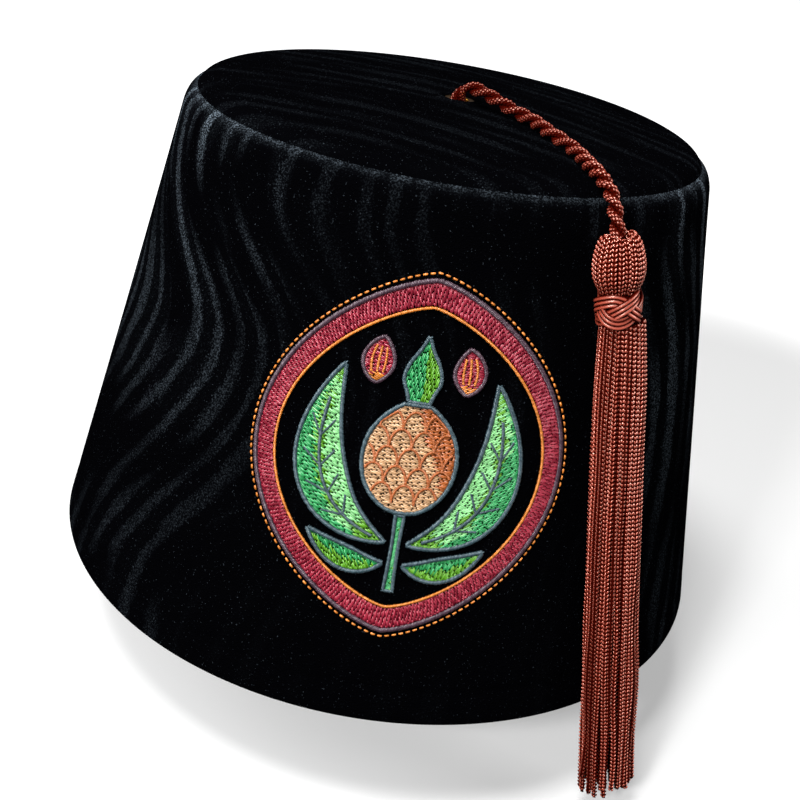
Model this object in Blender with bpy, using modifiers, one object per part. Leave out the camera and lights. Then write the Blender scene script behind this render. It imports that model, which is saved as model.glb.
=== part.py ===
"""Velvet fez with an embroidered medallion and a tassel on a twisted cord.

The hat stands upright: +Z is its axis and its front faces -Y. The origin is the centre of
the head opening, in the plane of the rim. The wall and the tip are hollow walls of stiffened
velvet, closed by a seam in the rounded edge of the crown. A brass eyelet in the tip lets the
tassel's cord through to a stop knot. The tassel lies on the wall to the right of the
medallion and hangs below the rim. All dimensions are in metres and all angles in degrees.
"""

from math import atan2, asin, cos, degrees, hypot, pi, radians, sin, tan

import bmesh
import bpy
import numpy as np
from mathutils import Matrix, Vector

# ------------------------------------------------------------------ driving dimensions

RIM_RADIUS = 0.095            # outer face of the wall, carried down to the plane of the rim
CROWN_RADIUS = 0.0708         # widest radius of the crown's rounded edge
CROWN_HEIGHT = 0.130          # the tip's own height, without its slight dome
EDGE_RADIUS = 0.0098          # rounding between the wall and the tip
CROWN_DOME = 0.0014           # rise of the tip from its edge to its middle
WALL = 0.0028                 # velvet over its stiffening
SEAM_ANGLE = 46               # where the seam runs in the rounded edge, above the horizontal
GAP = 0.0003                  # clearance between pieces that touch
ROUND_STEPS = 64              # flats round the crown

EYELET_PLACE = (0.0013, 0.0002)
EYELET_BORE = 0.0026
EYELET_BARREL = 0.0031
EYELET_FLANGE = 0.0049
EYELET_LIP = 0.0007           # height of each rolled flange
EYELET_STEPS = 20

CORD_DIAMETER = 0.0029
CORD_SPACING = 0.0050         # between the tube's points
STOP_KNOT_RADIUS = 0.0034
STOP_KNOT_HEIGHT = 0.0048

TASSEL_TOP = Vector((0.0423, -0.0641, 0.1213))
TASSEL_TIP = Vector((0.0732, -0.0753, -0.0250))
NECK_KNOT_RADIUS = 0.0049
NECK_KNOT_RIDGE = 0.0008      # how far the plaited bands stand out of the knot's body
NECK_KNOT_BIGHTS = 4
NECK_KNOT_TAPER = 0.32        # how far the knot's body narrows towards its ends, squared
BAND_SWING = 0.62             # height a band swings to, and its half width, where the
BAND_HALF_WIDTH = 0.42        # knot's own half height is 1
SKIRT_LOCKS = 12
LOCK_SIDES = 6
LOCK_FILL = 0.46              # lock radius as a share of the space between locks
LOCK_RING = 0.84              # ring through the locks' middles, as a share of the outline
LOCK_TIP = 0.55               # how far a lock narrows at its lower end

MEDALLION_AZIMUTH = 4.0       # its middle, from the front towards +X
MEDALLION_HEIGHT = 0.066
MEDALLION_HALF_WIDTH = 0.0373
MEDALLION_HALF_HEIGHT = 0.0430
MEDALLION_BAND = 0.0058
MEDALLION_POINT = 1.45        # 1 would be an oval, 2 a sharp almond
POINT_INSET = 1.25            # the band is this much wider at the points than at the sides
RELIEF = 0.0008               # thickness of the embroidery
LEAF_END = 0.00025            # half width of a leaf's blunt ends

# Distances down the tassel's axis from TASSEL_TOP, and half sizes there.
# Head: depth below the top, radius.
HEAD_SECTIONS = (
    (-0.0013, 0.0033), (-0.0009, 0.0045), (0.0007, 0.0053), (0.0032, 0.0058),
    (0.0060, 0.0060), (0.0086, 0.0057), (0.0108, 0.0050), (0.0124, 0.0042),
)
HEAD_DIMPLE = 0.0015          # depth and radius of the floor that the cord goes into
HEAD_DIMPLE_RADIUS = 0.0023
HEAD_CLEFT = 0.0009           # how far the front and back dip between the two top lobes
CLEFT_DEPTH = 0.0030          # how far down the head that dip reaches
HEAD_WALES = 16
HEAD_WALE_DEPTH = 0.03
HEAD_FLATTENING = 0.88        # its depth, as a share of its width
NECK_KNOT_SPAN = (0.0127, 0.0206)
# Skirt: distance down the axis, half width, half depth, shift to the right.
SKIRT_SECTIONS = (
    (0.0209, 0.0053, 0.0040, 0.0013), (0.0300, 0.0059, 0.0043, 0.0012),
    (0.0600, 0.0064, 0.0044, 0.0007), (0.0900, 0.0067, 0.0044, 0.0002),
    (0.1200, 0.0071, 0.0044, 0.0000), (0.1440, 0.0073, 0.0045, -0.0002),
)
LOCK_ENDS = (0.1455, 0.1490, 0.1472, 0.1500, 0.1461, 0.1483)

# The cord's middle line, from the stop knot under the tip to the dimple of the tassel's head.
CORD_ROUTE = (
    (0.00052, 0.00083, 0.12530), (0.00052, 0.00083, 0.12900), (0.00112, 0.00035, 0.13250),
    (0.00262, -0.00086, 0.13470), (0.00530, -0.00302, 0.13560), (0.00840, -0.00553, 0.13520),
    (0.01230, -0.00868, 0.13440), (0.01620, -0.01182, 0.13350), (0.01985, -0.01500, 0.13310),
    (0.02260, -0.02010, 0.13300), (0.02490, -0.02560, 0.13285), (0.02760, -0.03010, 0.13262),
    (0.02990, -0.03470, 0.13240), (0.03190, -0.04010, 0.13222), (0.03380, -0.04610, 0.13190),
    (0.03520, -0.05000, 0.13162), (0.03650, -0.05300, 0.13108), (0.03840, -0.05650, 0.12962),
    (0.03950, -0.05870, 0.12800), (0.04035, -0.06060, 0.12612), (0.04110, -0.06230, 0.12385),
    (0.04190, -0.06362, 0.12180), (0.04218, -0.06395, 0.12095),
)

# The medallion's motifs in the flat, as they are stitched: millimetres right of and above its
# middle. A leaf runs from its base to its tip, pulled towards its bend.
# name, base, bend, tip, half width, fullness (below 1 is blunt, above 1 is slim)
LEAVES = (
    ("badge_leaf", (2.6, -20.0), (29.0, -13.0), (17.5, 20.5), 6.0, 0.85),
    ("badge_low_leaf", (2.4, -25.2), (11.5, -28.2), (20.8, -20.0), 2.9, 0.85),
    ("badge_bud", (10.2, 17.4), (10.8, 22.0), (9.6, 28.0), 3.5, 0.70),
)
# height, half width
FRUIT_SECTIONS = (
    (-12.4, 1.6), (-11.6, 4.4), (-9.0, 7.7), (-5.0, 10.1), (0.0, 11.0), (5.0, 10.3),
    (9.0, 8.2), (12.0, 5.4), (13.6, 3.2),
)
CALYX_SECTIONS = ((14.2, 2.6), (16.5, 3.3), (19.5, 4.4), (23.0, 3.6), (26.5, 1.6), (29.5, 0.3))
STEM_SECTIONS = ((-32.0, 1.3), (-27.0, 1.1), (-20.0, 1.0), (-13.0, 1.2))

# ------------------------------------------------------------------ sizes that follow

EDGE_CENTRE_RADIUS = CROWN_RADIUS - EDGE_RADIUS
EDGE_CENTRE_HEIGHT = CROWN_HEIGHT - EDGE_RADIUS
WALL_INSET = RIM_RADIUS - EDGE_CENTRE_RADIUS
# The wall is the line from the rim that touches the rounded edge: its lean from upright.
WALL_LEAN = atan2(WALL_INSET, EDGE_CENTRE_HEIGHT) - asin(
    EDGE_RADIUS / hypot(WALL_INSET, EDGE_CENTRE_HEIGHT))


# ------------------------------------------------------------------ shared tools

def start_empty():
    """Remove the scene's objects and make the two collections."""
    for existing in list(bpy.data.objects):
        bpy.data.objects.remove(existing)
    made = []
    for name in ("fez hat", "cutters"):
        collection = bpy.data.collections.new(name)
        bpy.context.scene.collection.children.link(collection)
        made.append(collection)
    return made


def material(name, colour, roughness, metallic=0.0):
    made = bpy.data.materials.new(name)
    made.use_nodes = True
    shader = made.node_tree.nodes["Principled BSDF"]
    shader.inputs["Base Color"].default_value = (*colour, 1.0)
    shader.inputs["Roughness"].default_value = roughness
    shader.inputs["Metallic"].default_value = metallic
    return made


def add_object(name, mesh, finish, collection):
    made = bpy.data.objects.new(name, mesh)
    made.data.materials.append(finish)
    collection.objects.link(made)
    return made


def mesh_from(name, corners, faces, smooth_below=40):
    """A mesh with faces outwards, smooth except at edges sharper than smooth_below."""
    mesh = bpy.data.meshes.new(name)
    mesh.from_pydata([tuple(map(float, corner)) for corner in corners], [], faces)
    shape = bmesh.new()
    shape.from_mesh(mesh)
    bmesh.ops.recalc_face_normals(shape, faces=shape.faces)
    shape.to_mesh(mesh)
    shape.free()
    mesh.shade_smooth()
    mesh.set_sharp_from_angle(angle=radians(smooth_below))
    return mesh


def lofted(name, rings):
    """A closed mesh through rings of equal length, with a flat cap at each end."""
    rings = np.asarray(rings)
    stations, sides = rings.shape[:2]
    faces = [tuple(range(sides)), tuple(range((stations - 1) * sides, stations * sides))]
    for station in range(stations - 1):
        for side in range(sides):
            here = station * sides + side
            beside = station * sides + (side + 1) % sides
            faces.append((here, beside, beside + sides, here + sides))
    return mesh_from(name, rings.reshape(-1, 3), faces)


def turned(name, profile, finish, collection, steps=ROUND_STEPS, closed=True):
    """Turn a profile of (radius, height) about Z; it runs down its outer side."""
    count = len(profile)
    edges = [(i, (i + 1) % count) for i in range(count if closed else count - 1)]
    mesh = bpy.data.meshes.new(name)
    mesh.from_pydata([(radius, 0.0, height) for radius, height in profile], edges, [])
    made = add_object(name, mesh, finish, collection)
    screw = made.modifiers.new("turn", "SCREW")
    screw.steps = screw.render_steps = steps
    screw.use_merge_vertices = True
    screw.merge_threshold = 0.00001
    screw.use_smooth_shade = True
    return made


def arc(centre, radius, first, last, steps):
    """Points of (radius, height) on an arc from one angle to another, ends included."""
    angles = [radians(first + (last - first) * i / steps) for i in range(steps + 1)]
    return [(centre[0] + radius * cos(a), centre[1] + radius * sin(a)) for a in angles]


def tip_height(radius):
    """Height of the tip's upper face at a radius."""
    return CROWN_HEIGHT + CROWN_DOME * (1 - (radius / EDGE_CENTRE_RADIUS) ** 2)


def freeze(made):
    """Replace an object's mesh by its mesh with modifiers applied."""
    bpy.context.view_layer.update()
    seen = made.evaluated_get(bpy.context.evaluated_depsgraph_get())
    mesh = bpy.data.meshes.new_from_object(seen)
    made.modifiers.clear()
    made.data = mesh


def combine(made, other, operation):
    """Cut or join another object with an exact Boolean, then hide that object."""
    boolean = made.modifiers.new(operation.lower(), "BOOLEAN")
    boolean.operation = operation
    boolean.solver = "EXACT"
    boolean.object = other
    other.hide_render = True
    other.display_type = "WIRE"


# ------------------------------------------------------------------ crown

def make_crown_side(collection, velvet):
    """The leaning wall: rounded turned-in rim, straight face, lower half of the edge."""
    lean = degrees(WALL_LEAN)
    edge = (EDGE_CENTRE_RADIUS, EDGE_CENTRE_HEIGHT)
    rim = (RIM_RADIUS - WALL / 2, WALL / 2)
    profile = arc(edge, EDGE_RADIUS, SEAM_ANGLE, lean, 4)
    profile += arc(rim, WALL / 2, lean, lean - 180, 4)
    profile += arc(edge, EDGE_RADIUS - WALL, lean, SEAM_ANGLE, 3)
    return turned("crown_side", profile, velvet, collection)


def make_crown_top(collection, cutters, velvet):
    """The tip: a slightly domed disc whose edge turns down to the seam, with a cord hole."""
    seam_gap = degrees(GAP / (EDGE_RADIUS - WALL))
    edge = (EDGE_CENTRE_RADIUS, EDGE_CENTRE_HEIGHT)
    radii = (0.0, EDGE_CENTRE_RADIUS / 3, EDGE_CENTRE_RADIUS * 2 / 3)
    profile = [(radius, tip_height(radius)) for radius in radii]
    profile += arc(edge, EDGE_RADIUS, 90, SEAM_ANGLE + seam_gap, 4)
    profile += arc(edge, EDGE_RADIUS - WALL, SEAM_ANGLE + seam_gap, 90, 3)
    profile += [(radius, tip_height(radius) - WALL) for radius in reversed(radii)]
    tip = turned("crown_top", profile, velvet, collection, closed=False)
    bpy.ops.mesh.primitive_cylinder_add(
        vertices=EYELET_STEPS, radius=EYELET_BARREL + GAP, depth=WALL * 4,
        location=(*EYELET_PLACE, CROWN_HEIGHT))
    punch = bpy.context.object
    punch.name = "eyelet_hole"
    for holder in list(punch.users_collection):
        holder.objects.unlink(punch)
    cutters.objects.link(punch)
    combine(tip, punch, "DIFFERENCE")
    return tip


def make_eyelet(collection, brass):
    """A rolled brass eyelet: a barrel through the tip between two rounded flanges."""
    top = CROWN_DOME + GAP
    under = CROWN_DOME - WALL - GAP
    profile = [(EYELET_BORE, top + EYELET_LIP * 0.6), (EYELET_BORE + 0.0005, top + EYELET_LIP)]
    profile += [(EYELET_FLANGE - 0.0006, top + EYELET_LIP * 0.8)]
    profile += [(EYELET_FLANGE, top + EYELET_LIP * 0.3), (EYELET_FLANGE - 0.0002, top)]
    profile += [(EYELET_BARREL, top), (EYELET_BARREL, under)]
    profile += [(EYELET_FLANGE - 0.0006, under), (EYELET_FLANGE - 0.0004, under - EYELET_LIP * 0.5)]
    profile += [(EYELET_BORE + 0.0005, under - EYELET_LIP), (EYELET_BORE, under - EYELET_LIP * 0.6)]
    eyelet = turned("eyelet", profile, brass, collection, EYELET_STEPS)
    eyelet.location = (*EYELET_PLACE, CROWN_HEIGHT)
    return eyelet


# ------------------------------------------------------------------ cord and stop knot

def smooth_route(points, spacing):
    """Read evenly spaced points from a Catmull-Rom curve through the route's points."""
    knots = np.array(points)
    padded = np.vstack([2 * knots[0] - knots[1], knots, 2 * knots[-1] - knots[-2]])
    share = np.linspace(0, 1, 12, endpoint=False)[:, None]
    pieces = []
    for before, start, end, after in zip(padded, padded[1:], padded[2:], padded[3:]):
        pieces.append(0.5 * (2 * start + (end - before) * share
                             + (2 * before - 5 * start + 4 * end - after) * share ** 2
                             + (3 * start - before - 3 * end + after) * share ** 3))
    dense = np.vstack(pieces + [knots[-1:]])
    along = np.append(0, np.cumsum(np.linalg.norm(np.diff(dense, axis=0), axis=1)))
    even = np.linspace(0, along[-1], round(along[-1] / spacing) + 1)
    return np.column_stack([np.interp(even, along, dense[:, axis]) for axis in range(3)])


def make_cord(collection, silk):
    """The twisted cord, from under the tip over the crown's edge to the tassel."""
    curve = bpy.data.curves.new("tassel_cord", "CURVE")
    curve.dimensions = "3D"
    curve.bevel_depth = CORD_DIAMETER / 2
    curve.bevel_resolution = 2
    curve.use_fill_caps = True
    points = smooth_route(CORD_ROUTE, CORD_SPACING)
    spline = curve.splines.new("POLY")
    spline.points.add(len(points) - 1)
    for place, point in zip(points, spline.points):
        point.co = (*place, 1.0)
    return add_object("tassel_cord", curve, silk, collection)


def make_stop_knot(collection, silk):
    """The plain knot under the tip that keeps the cord from pulling out."""
    shape = bmesh.new()
    bmesh.ops.create_uvsphere(shape, u_segments=16, v_segments=8, radius=STOP_KNOT_RADIUS)
    squash = STOP_KNOT_HEIGHT / (2 * STOP_KNOT_RADIUS)
    bmesh.ops.scale(shape, verts=shape.verts, vec=(1, 1, squash))
    mesh = bpy.data.meshes.new("stop_knot")
    shape.to_mesh(mesh)
    shape.free()
    mesh.shade_smooth()
    knot = add_object("stop_knot", mesh, silk, collection)
    start = Vector(CORD_ROUTE[0])
    knot.location = start - Vector((0, 0, GAP + STOP_KNOT_HEIGHT / 2))
    return knot


# ------------------------------------------------------------------ tassel

def tassel_matrix():
    """Place the tassel: +Z up its axis from TASSEL_TOP, -Y away from the hat's wall."""
    up = (TASSEL_TOP - TASSEL_TIP).normalized()
    middle = (TASSEL_TOP + TASSEL_TIP) / 2
    inward = Vector((-middle.x, -middle.y, 0))
    across = inward.cross(up).normalized()
    inward = up.cross(across)
    turn = Matrix((across, inward, up)).transposed().to_4x4()
    return Matrix.Translation(TASSEL_TOP) @ turn


def make_tassel_head(collection, silk):
    """The ball of folded strands: shallow wales, and two lobes either side of the cord."""
    sides = HEAD_WALES * 2
    turn = np.arange(sides) * 2 * pi / sides
    wale = 1 + HEAD_WALE_DEPTH * np.cos(HEAD_WALES * turn)
    rings = [[(HEAD_DIMPLE_RADIUS * cos(a), HEAD_DIMPLE_RADIUS * sin(a), -HEAD_DIMPLE)
              for a in turn]]
    for depth, radius in HEAD_SECTIONS:
        below_top = (depth - HEAD_SECTIONS[0][0]) / CLEFT_DEPTH
        lobes = HEAD_CLEFT * np.sin(turn) ** 2 * max(0.0, 1 - below_top)
        rings.append(np.column_stack([
            radius * wale * np.cos(turn), HEAD_FLATTENING * radius * wale * np.sin(turn),
            -depth - lobes]))
    mesh = lofted("tassel_head", rings)
    return add_object("tassel_head", mesh, silk, collection)


def make_neck_knot(collection, silk):
    """The plaited knot at the neck: a barrel whose ridges follow three crossing bands."""
    around, along = 56, 9
    turn = np.arange(around) * 2 * pi / around
    share = np.linspace(-1, 1, along)
    depth = np.interp(share, (-1, 1), NECK_KNOT_SPAN)
    barrel = NECK_KNOT_RADIUS * np.sqrt(1 - NECK_KNOT_TAPER * share ** 2)
    rings = []
    for height, level, body in zip(depth, share, barrel):
        ridge = np.zeros(around)
        for band in range(3):
            lane = (turn + 2 * pi * band) * NECK_KNOT_BIGHTS / 3
            off_band = (level - BAND_SWING * np.sin(lane)) / BAND_HALF_WIDTH
            ridge = np.maximum(ridge, 1 - off_band ** 2)
        radius = body + NECK_KNOT_RIDGE * ridge
        rings.append(np.column_stack([
            radius * np.cos(turn), radius * np.sin(turn), np.full(around, -height)]))
    return add_object("tassel_knot", lofted("tassel_knot", rings), silk, collection)


def ellipse_places(half_width, half_depth, count):
    """Evenly spaced (x, y) places on an ellipse."""
    dense = np.linspace(0, 2 * pi, 361)
    outline = np.column_stack([half_width * np.cos(dense), half_depth * np.sin(dense)])
    along = np.append(0, np.cumsum(np.linalg.norm(np.diff(outline, axis=0), axis=1)))
    even = np.linspace(0, along[-1], count, endpoint=False)
    return np.column_stack([np.interp(even, along, outline[:, axis]) for axis in (0, 1)])


def make_skirt(collection, cutters, silk):
    """The fringe: a flattened core with locks of strands sunk half way into it."""
    radius_share = 2 * pi / SKIRT_LOCKS * LOCK_FILL * LOCK_RING
    core = []
    lock_rings = [[] for _ in range(SKIRT_LOCKS)]
    corner = np.arange(LOCK_SIDES) * 2 * pi / LOCK_SIDES
    for station, (depth, half_width, half_depth, shift) in enumerate(SKIRT_SECTIONS):
        lock = radius_share * hypot(half_width, half_depth) / 2 ** 0.5
        across, inward = half_width - lock, half_depth - lock
        core.append([(x + shift, y, -depth) for x, y in ellipse_places(across, inward, 16)])
        for index, (x, y) in enumerate(ellipse_places(across, inward, SKIRT_LOCKS)):
            low = depth + 0.0005 if station == 0 else depth
            ring = [(x + shift + lock * cos(a), y + lock * sin(a), -low) for a in corner]
            lock_rings[index].append(ring)
    for index, rings in enumerate(lock_rings):
        end = -LOCK_ENDS[index % len(LOCK_ENDS)]
        middle = np.mean(rings[-1], axis=0)
        tip = middle + (np.array(rings[-1]) - middle) * LOCK_TIP
        tip[:, 2] = end
        rings.append(tip)
    skirt = add_object("tassel_skirt", lofted("tassel_skirt", core), silk, collection)
    shape = bmesh.new()
    for rings in lock_rings:
        shape.from_mesh(lofted("lock", rings))
    mesh = bpy.data.meshes.new("skirt_locks")
    shape.to_mesh(mesh)
    shape.free()
    locks = add_object("skirt_locks", mesh, silk, cutters)
    combine(skirt, locks, "UNION")
    freeze(skirt)
    return skirt


# ------------------------------------------------------------------ medallion

def on_wall(flat, stand_off):
    """Wrap flat places (metres right, metres up the slope) round the wall without stretch.

    The wall is part of a cone, so the flat cloth is a sector about the cone's apex: a place's
    distance from the apex is kept, and its angle there becomes an angle round the hat.
    """
    right, up = np.asarray(flat, dtype=float).reshape(-1, 2).T
    apex_height = RIM_RADIUS / tan(WALL_LEAN)
    middle = (apex_height - MEDALLION_HEIGHT) / cos(WALL_LEAN)
    reach = np.hypot(right, middle - up)
    turn = radians(MEDALLION_AZIMUTH) + np.arctan2(right, middle - up) / sin(WALL_LEAN)
    radius = reach * sin(WALL_LEAN) + stand_off * cos(WALL_LEAN)
    height = apex_height - reach * cos(WALL_LEAN) + stand_off * sin(WALL_LEAN)
    return np.column_stack([radius * np.sin(turn), -radius * np.cos(turn), height])


def stitched_piece(name, grid, finish, collection, ring=False):
    """Low relief over a grid of flat places; a ring's last row joins its first."""
    grid = np.asarray(grid, dtype=float)
    rows, columns = grid.shape[:2]
    faces = []
    for row in range(rows if ring else rows - 1):
        after = (row + 1) % rows
        for column in range(columns - 1):
            faces.append((row * columns + column, row * columns + column + 1,
                          after * columns + column + 1, after * columns + column))
    made = add_object(name, mesh_from(name, on_wall(grid, GAP), faces), finish, collection)
    face = made.data.polygons[0]
    out = Vector((face.center.x, face.center.y, 0)).dot(face.normal) > 0
    thick = made.modifiers.new("relief", "SOLIDIFY")
    thick.thickness = RELIEF
    thick.offset = 1.0 if out else -1.0
    thick.use_flip_normals = not out
    thick.use_even_offset = True
    return made


def medallion_outline(inset, steps):
    """A pointed oval, inset towards its middle: sine to a power across, cosine up."""
    turn = np.arange(steps) * 2 * pi / steps
    across = np.sign(np.sin(turn)) * np.abs(np.sin(turn)) ** MEDALLION_POINT
    return np.column_stack([(MEDALLION_HALF_WIDTH - inset) * across,
                            (MEDALLION_HALF_HEIGHT - inset * POINT_INSET) * np.cos(turn)])


def make_border(collection, maroon):
    """The medallion's satin band."""
    insets = (0.0, MEDALLION_BAND / 2, MEDALLION_BAND)
    grid = np.stack([medallion_outline(inset, 60) for inset in insets], axis=1)
    return stitched_piece("badge_border", grid, maroon, collection, ring=True)


def make_leaf(name, base, bend, tip, half_width, fullness, side, finish, collection):
    """A leaf along a bent rib; side is 1 for the right one and -1 for its mirror image."""
    share = np.linspace(0, 1, 8)[:, None]
    base, bend, tip = (np.array(place) * (side, 1) * 0.001 for place in (base, bend, tip))
    rib = (1 - share) ** 2 * base + 2 * share * (1 - share) * bend + share ** 2 * tip
    run = np.gradient(rib, axis=0)
    run /= np.linalg.norm(run, axis=1)[:, None]
    normal = np.column_stack([-run[:, 1], run[:, 0]])
    reach = half_width * 0.001 * np.sin(pi * share) ** fullness + LEAF_END
    across = np.linspace(-1, 1, 4)
    grid = rib[:, None] + normal[:, None] * reach[:, None] * across[None, :, None]
    return stitched_piece(name, grid, finish, collection)


def make_upright_motif(name, sections, columns, finish, collection):
    """A motif on the medallion's middle line, from rows of height and half width."""
    across = np.linspace(-1, 1, columns)
    grid = [[(half_width * place * 0.001, height * 0.001) for place in across]
            for height, half_width in sections]
    return stitched_piece(name, grid, finish, collection)


# ------------------------------------------------------------------ the hat

def build():
    hat, cutters = start_empty()
    velvet = material("black velvet", (0.006, 0.007, 0.009), 0.85)
    silk = material("rust rayon", (0.30, 0.07, 0.04), 0.45)
    brass = material("brass", (0.75, 0.52, 0.22), 0.3, 1.0)
    maroon = material("maroon satin stitch", (0.22, 0.01, 0.03), 0.4)
    green = material("light green stitch", (0.14, 0.45, 0.12), 0.5)
    leaf_green = material("mid green stitch", (0.05, 0.27, 0.05), 0.5)
    tan = material("tan stitch", (0.50, 0.29, 0.15), 0.5)

    make_crown_side(hat, velvet)
    make_crown_top(hat, cutters, velvet)
    make_eyelet(hat, brass)
    make_cord(hat, silk)
    make_stop_knot(hat, silk)

    place = tassel_matrix()
    for piece in (make_tassel_head(hat, silk), make_neck_knot(hat, silk),
                  make_skirt(hat, cutters, silk)):
        piece.matrix_world = place

    make_border(hat, maroon)
    leaf_finish = {"badge_leaf": green, "badge_low_leaf": leaf_green, "badge_bud": maroon}
    for name, *shape in LEAVES:
        for side, word in ((1, "right"), (-1, "left")):
            make_leaf(f"{name}_{word}", *shape, side, leaf_finish[name], hat)
    make_upright_motif("badge_fruit", FRUIT_SECTIONS, 7, tan, hat)
    make_upright_motif("badge_calyx", CALYX_SECTIONS, 4, leaf_green, hat)
    make_upright_motif("badge_stem", STEM_SECTIONS, 2, leaf_green, hat)


build()
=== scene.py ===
"""The looks of a black velvet fez with an embroidered medallion and a tassel on a twisted cord.

The file is laid out as a Blender add-on and is run as a script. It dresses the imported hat:
velvet walls with a crushed pile, a two-ply cord, a tassel of chainette strands with a plaited
neck knot, and a medallion of real stitches. Sizes are in metres, angles in degrees, and the
places are those of the hat's own source: +Z is its axis, and its front faces -Y.
"""

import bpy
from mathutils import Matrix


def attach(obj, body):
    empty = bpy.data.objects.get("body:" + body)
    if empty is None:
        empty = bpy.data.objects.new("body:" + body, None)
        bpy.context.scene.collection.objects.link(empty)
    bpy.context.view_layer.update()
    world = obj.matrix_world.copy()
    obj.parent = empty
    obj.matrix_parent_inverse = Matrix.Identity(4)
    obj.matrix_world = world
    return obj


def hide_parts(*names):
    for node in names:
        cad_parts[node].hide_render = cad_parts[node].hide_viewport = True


bl_info = {
    "name": "Velvet Fez",
    "version": (1, 0, 0),
    "blender": (4, 5, 0),
    "location": "View3D > Sidebar > Fez",
    "description": "Builds the velvet, cord, tassel and embroidery of a fez",
    "category": "Add Mesh",
}

from collections import namedtuple
from math import asin, atan2, cos, degrees, hypot, pi, radians, sin, tan

import bpy
import numpy as np
from bpy.props import FloatProperty, FloatVectorProperty, IntProperty, PointerProperty
from bpy.types import Operator, Panel, PropertyGroup

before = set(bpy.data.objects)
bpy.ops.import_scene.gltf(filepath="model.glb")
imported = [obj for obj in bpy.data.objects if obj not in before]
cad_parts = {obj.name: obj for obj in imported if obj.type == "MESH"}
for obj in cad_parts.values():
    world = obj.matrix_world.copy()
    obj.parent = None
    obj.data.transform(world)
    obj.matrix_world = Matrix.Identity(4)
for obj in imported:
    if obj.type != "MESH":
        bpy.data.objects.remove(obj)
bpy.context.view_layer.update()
BODY = "root"

# ------------------ places the source gives

# The cord's middle line, from the stop knot under the tip to the dimple of the tassel's head.
CORD_ROUTE = (
    (0.00052, 0.00083, 0.12530), (0.00052, 0.00083, 0.12900), (0.00112, 0.00035, 0.13250),
    (0.00262, -0.00086, 0.13470), (0.00530, -0.00302, 0.13560), (0.00840, -0.00553, 0.13520),
    (0.01230, -0.00868, 0.13440), (0.01620, -0.01182, 0.13350), (0.01985, -0.01500, 0.13310),
    (0.02260, -0.02010, 0.13300), (0.02490, -0.02560, 0.13285), (0.02760, -0.03010, 0.13262),
    (0.02990, -0.03470, 0.13240), (0.03190, -0.04010, 0.13222), (0.03380, -0.04610, 0.13190),
    (0.03520, -0.05000, 0.13162), (0.03650, -0.05300, 0.13108), (0.03840, -0.05650, 0.12962),
    (0.03950, -0.05870, 0.12800), (0.04035, -0.06060, 0.12612), (0.04110, -0.06230, 0.12385),
    (0.04190, -0.06362, 0.12180), (0.04218, -0.06395, 0.12095),
)
TASSEL_TOP = np.array((0.0423, -0.0641, 0.1213))
TASSEL_TIP = np.array((0.0732, -0.0753, -0.0250))
EYELET_PLACE = (0.0013, 0.0002)

# Tassel head from the floor of its dimple: depth below the tassel's top, radius.
HEAD_SECTIONS = (
    (0.0015, 0.0019), (0.0002, 0.0022), (-0.0013, 0.0031), (-0.0010, 0.0041),
    (0.0006, 0.0050), (0.0032, 0.0057), (0.0060, 0.0061), (0.0088, 0.0059),
    (0.0110, 0.0051), (0.0130, 0.0042),
)
HEAD_TOP = -0.0013
HEAD_CLEFT = 0.0009     # how far the front and back dip between the two top lobes
CLEFT_DEPTH = 0.0030
HEAD_FLATTENING = 0.88  # its depth, as a share of its width
HEAD_SHADE = 0.30       # painted shade: how much darker its colour is where it is drawn in
NECK_KNOT_SPAN = (0.0115, 0.0195)
# Skirt: distance down the tassel, half width and half depth to its outer strands' middles,
# and shift to the right. It spreads wider at its end than the source's plain skirt.
SKIRT_SECTIONS = (
    (0.0195, 0.0052, 0.0038, 0.0014), (0.0250, 0.0056, 0.0040, 0.0014),
    (0.0350, 0.0062, 0.0042, 0.0013), (0.0450, 0.0065, 0.0042, 0.0011),
    (0.0600, 0.0067, 0.0042, 0.0009), (0.0900, 0.0072, 0.0043, 0.0004),
    (0.1200, 0.0078, 0.0043, 0.0002), (0.1510, 0.0080, 0.0044, 0.0000),
)

# The medallion in the flat: millimetres right of and above its middle.
MM = 0.001
MEDALLION_POINT = 1.45  # 1 would be an oval, 2 a sharp almond
POINT_INSET = 1.25      # the band is this much wider at the points than at the sides
# A leaf's name, the three points of its rib, and its widest, its fullness as a power and
# the lean of its stitches in degrees.
Motif = namedtuple("Motif", "name base bend tip half_width fullness lean")
LEAF = Motif("badge_leaf", (2.6, -20.0), (29.0, -13.0), (17.5, 20.5), 6.0, 0.85, 30)
LOW_LEAF = Motif("badge_low_leaf", (2.4, -25.2), (11.5, -28.2), (20.8, -20.0), 2.9, 0.85, 64)
BUD = Motif("badge_bud", (10.2, 17.4), (10.8, 22.0), (9.6, 28.0), 3.5, 0.70, 20)
# height, half width
FRUIT_SECTIONS = (
    (-12.4, 1.6), (-11.6, 4.4), (-9.0, 7.7), (-5.0, 10.1), (0.0, 11.0), (5.0, 10.3),
    (9.0, 8.2), (12.0, 5.4), (13.6, 3.2),
)
CALYX_SECTIONS = ((14.2, 2.6), (16.5, 3.3), (19.5, 4.4), (23.0, 3.6), (26.5, 1.6), (29.5, 0.3))
STEM_SECTIONS = ((-32.0, 1.3), (-27.0, 1.1), (-20.0, 1.0), (-13.0, 1.2))

# ------------------ camera and stage

VIEW_AZIMUTH = 1.17
VIEW_ELEVATION = 26.32
VIEW_ROLL = -9.99
VIEW_DISTANCE = 0.34833
VIEW_TARGET = (-0.000422, 0.04074)  # to the right of the hat's axis, and height
VIEW_LENS = 52.108      # millimetres
SENSOR_WIDTH = 36.0
FLOOR_HEIGHT = -0.0310  # just clear of the tassel's tips


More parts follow.
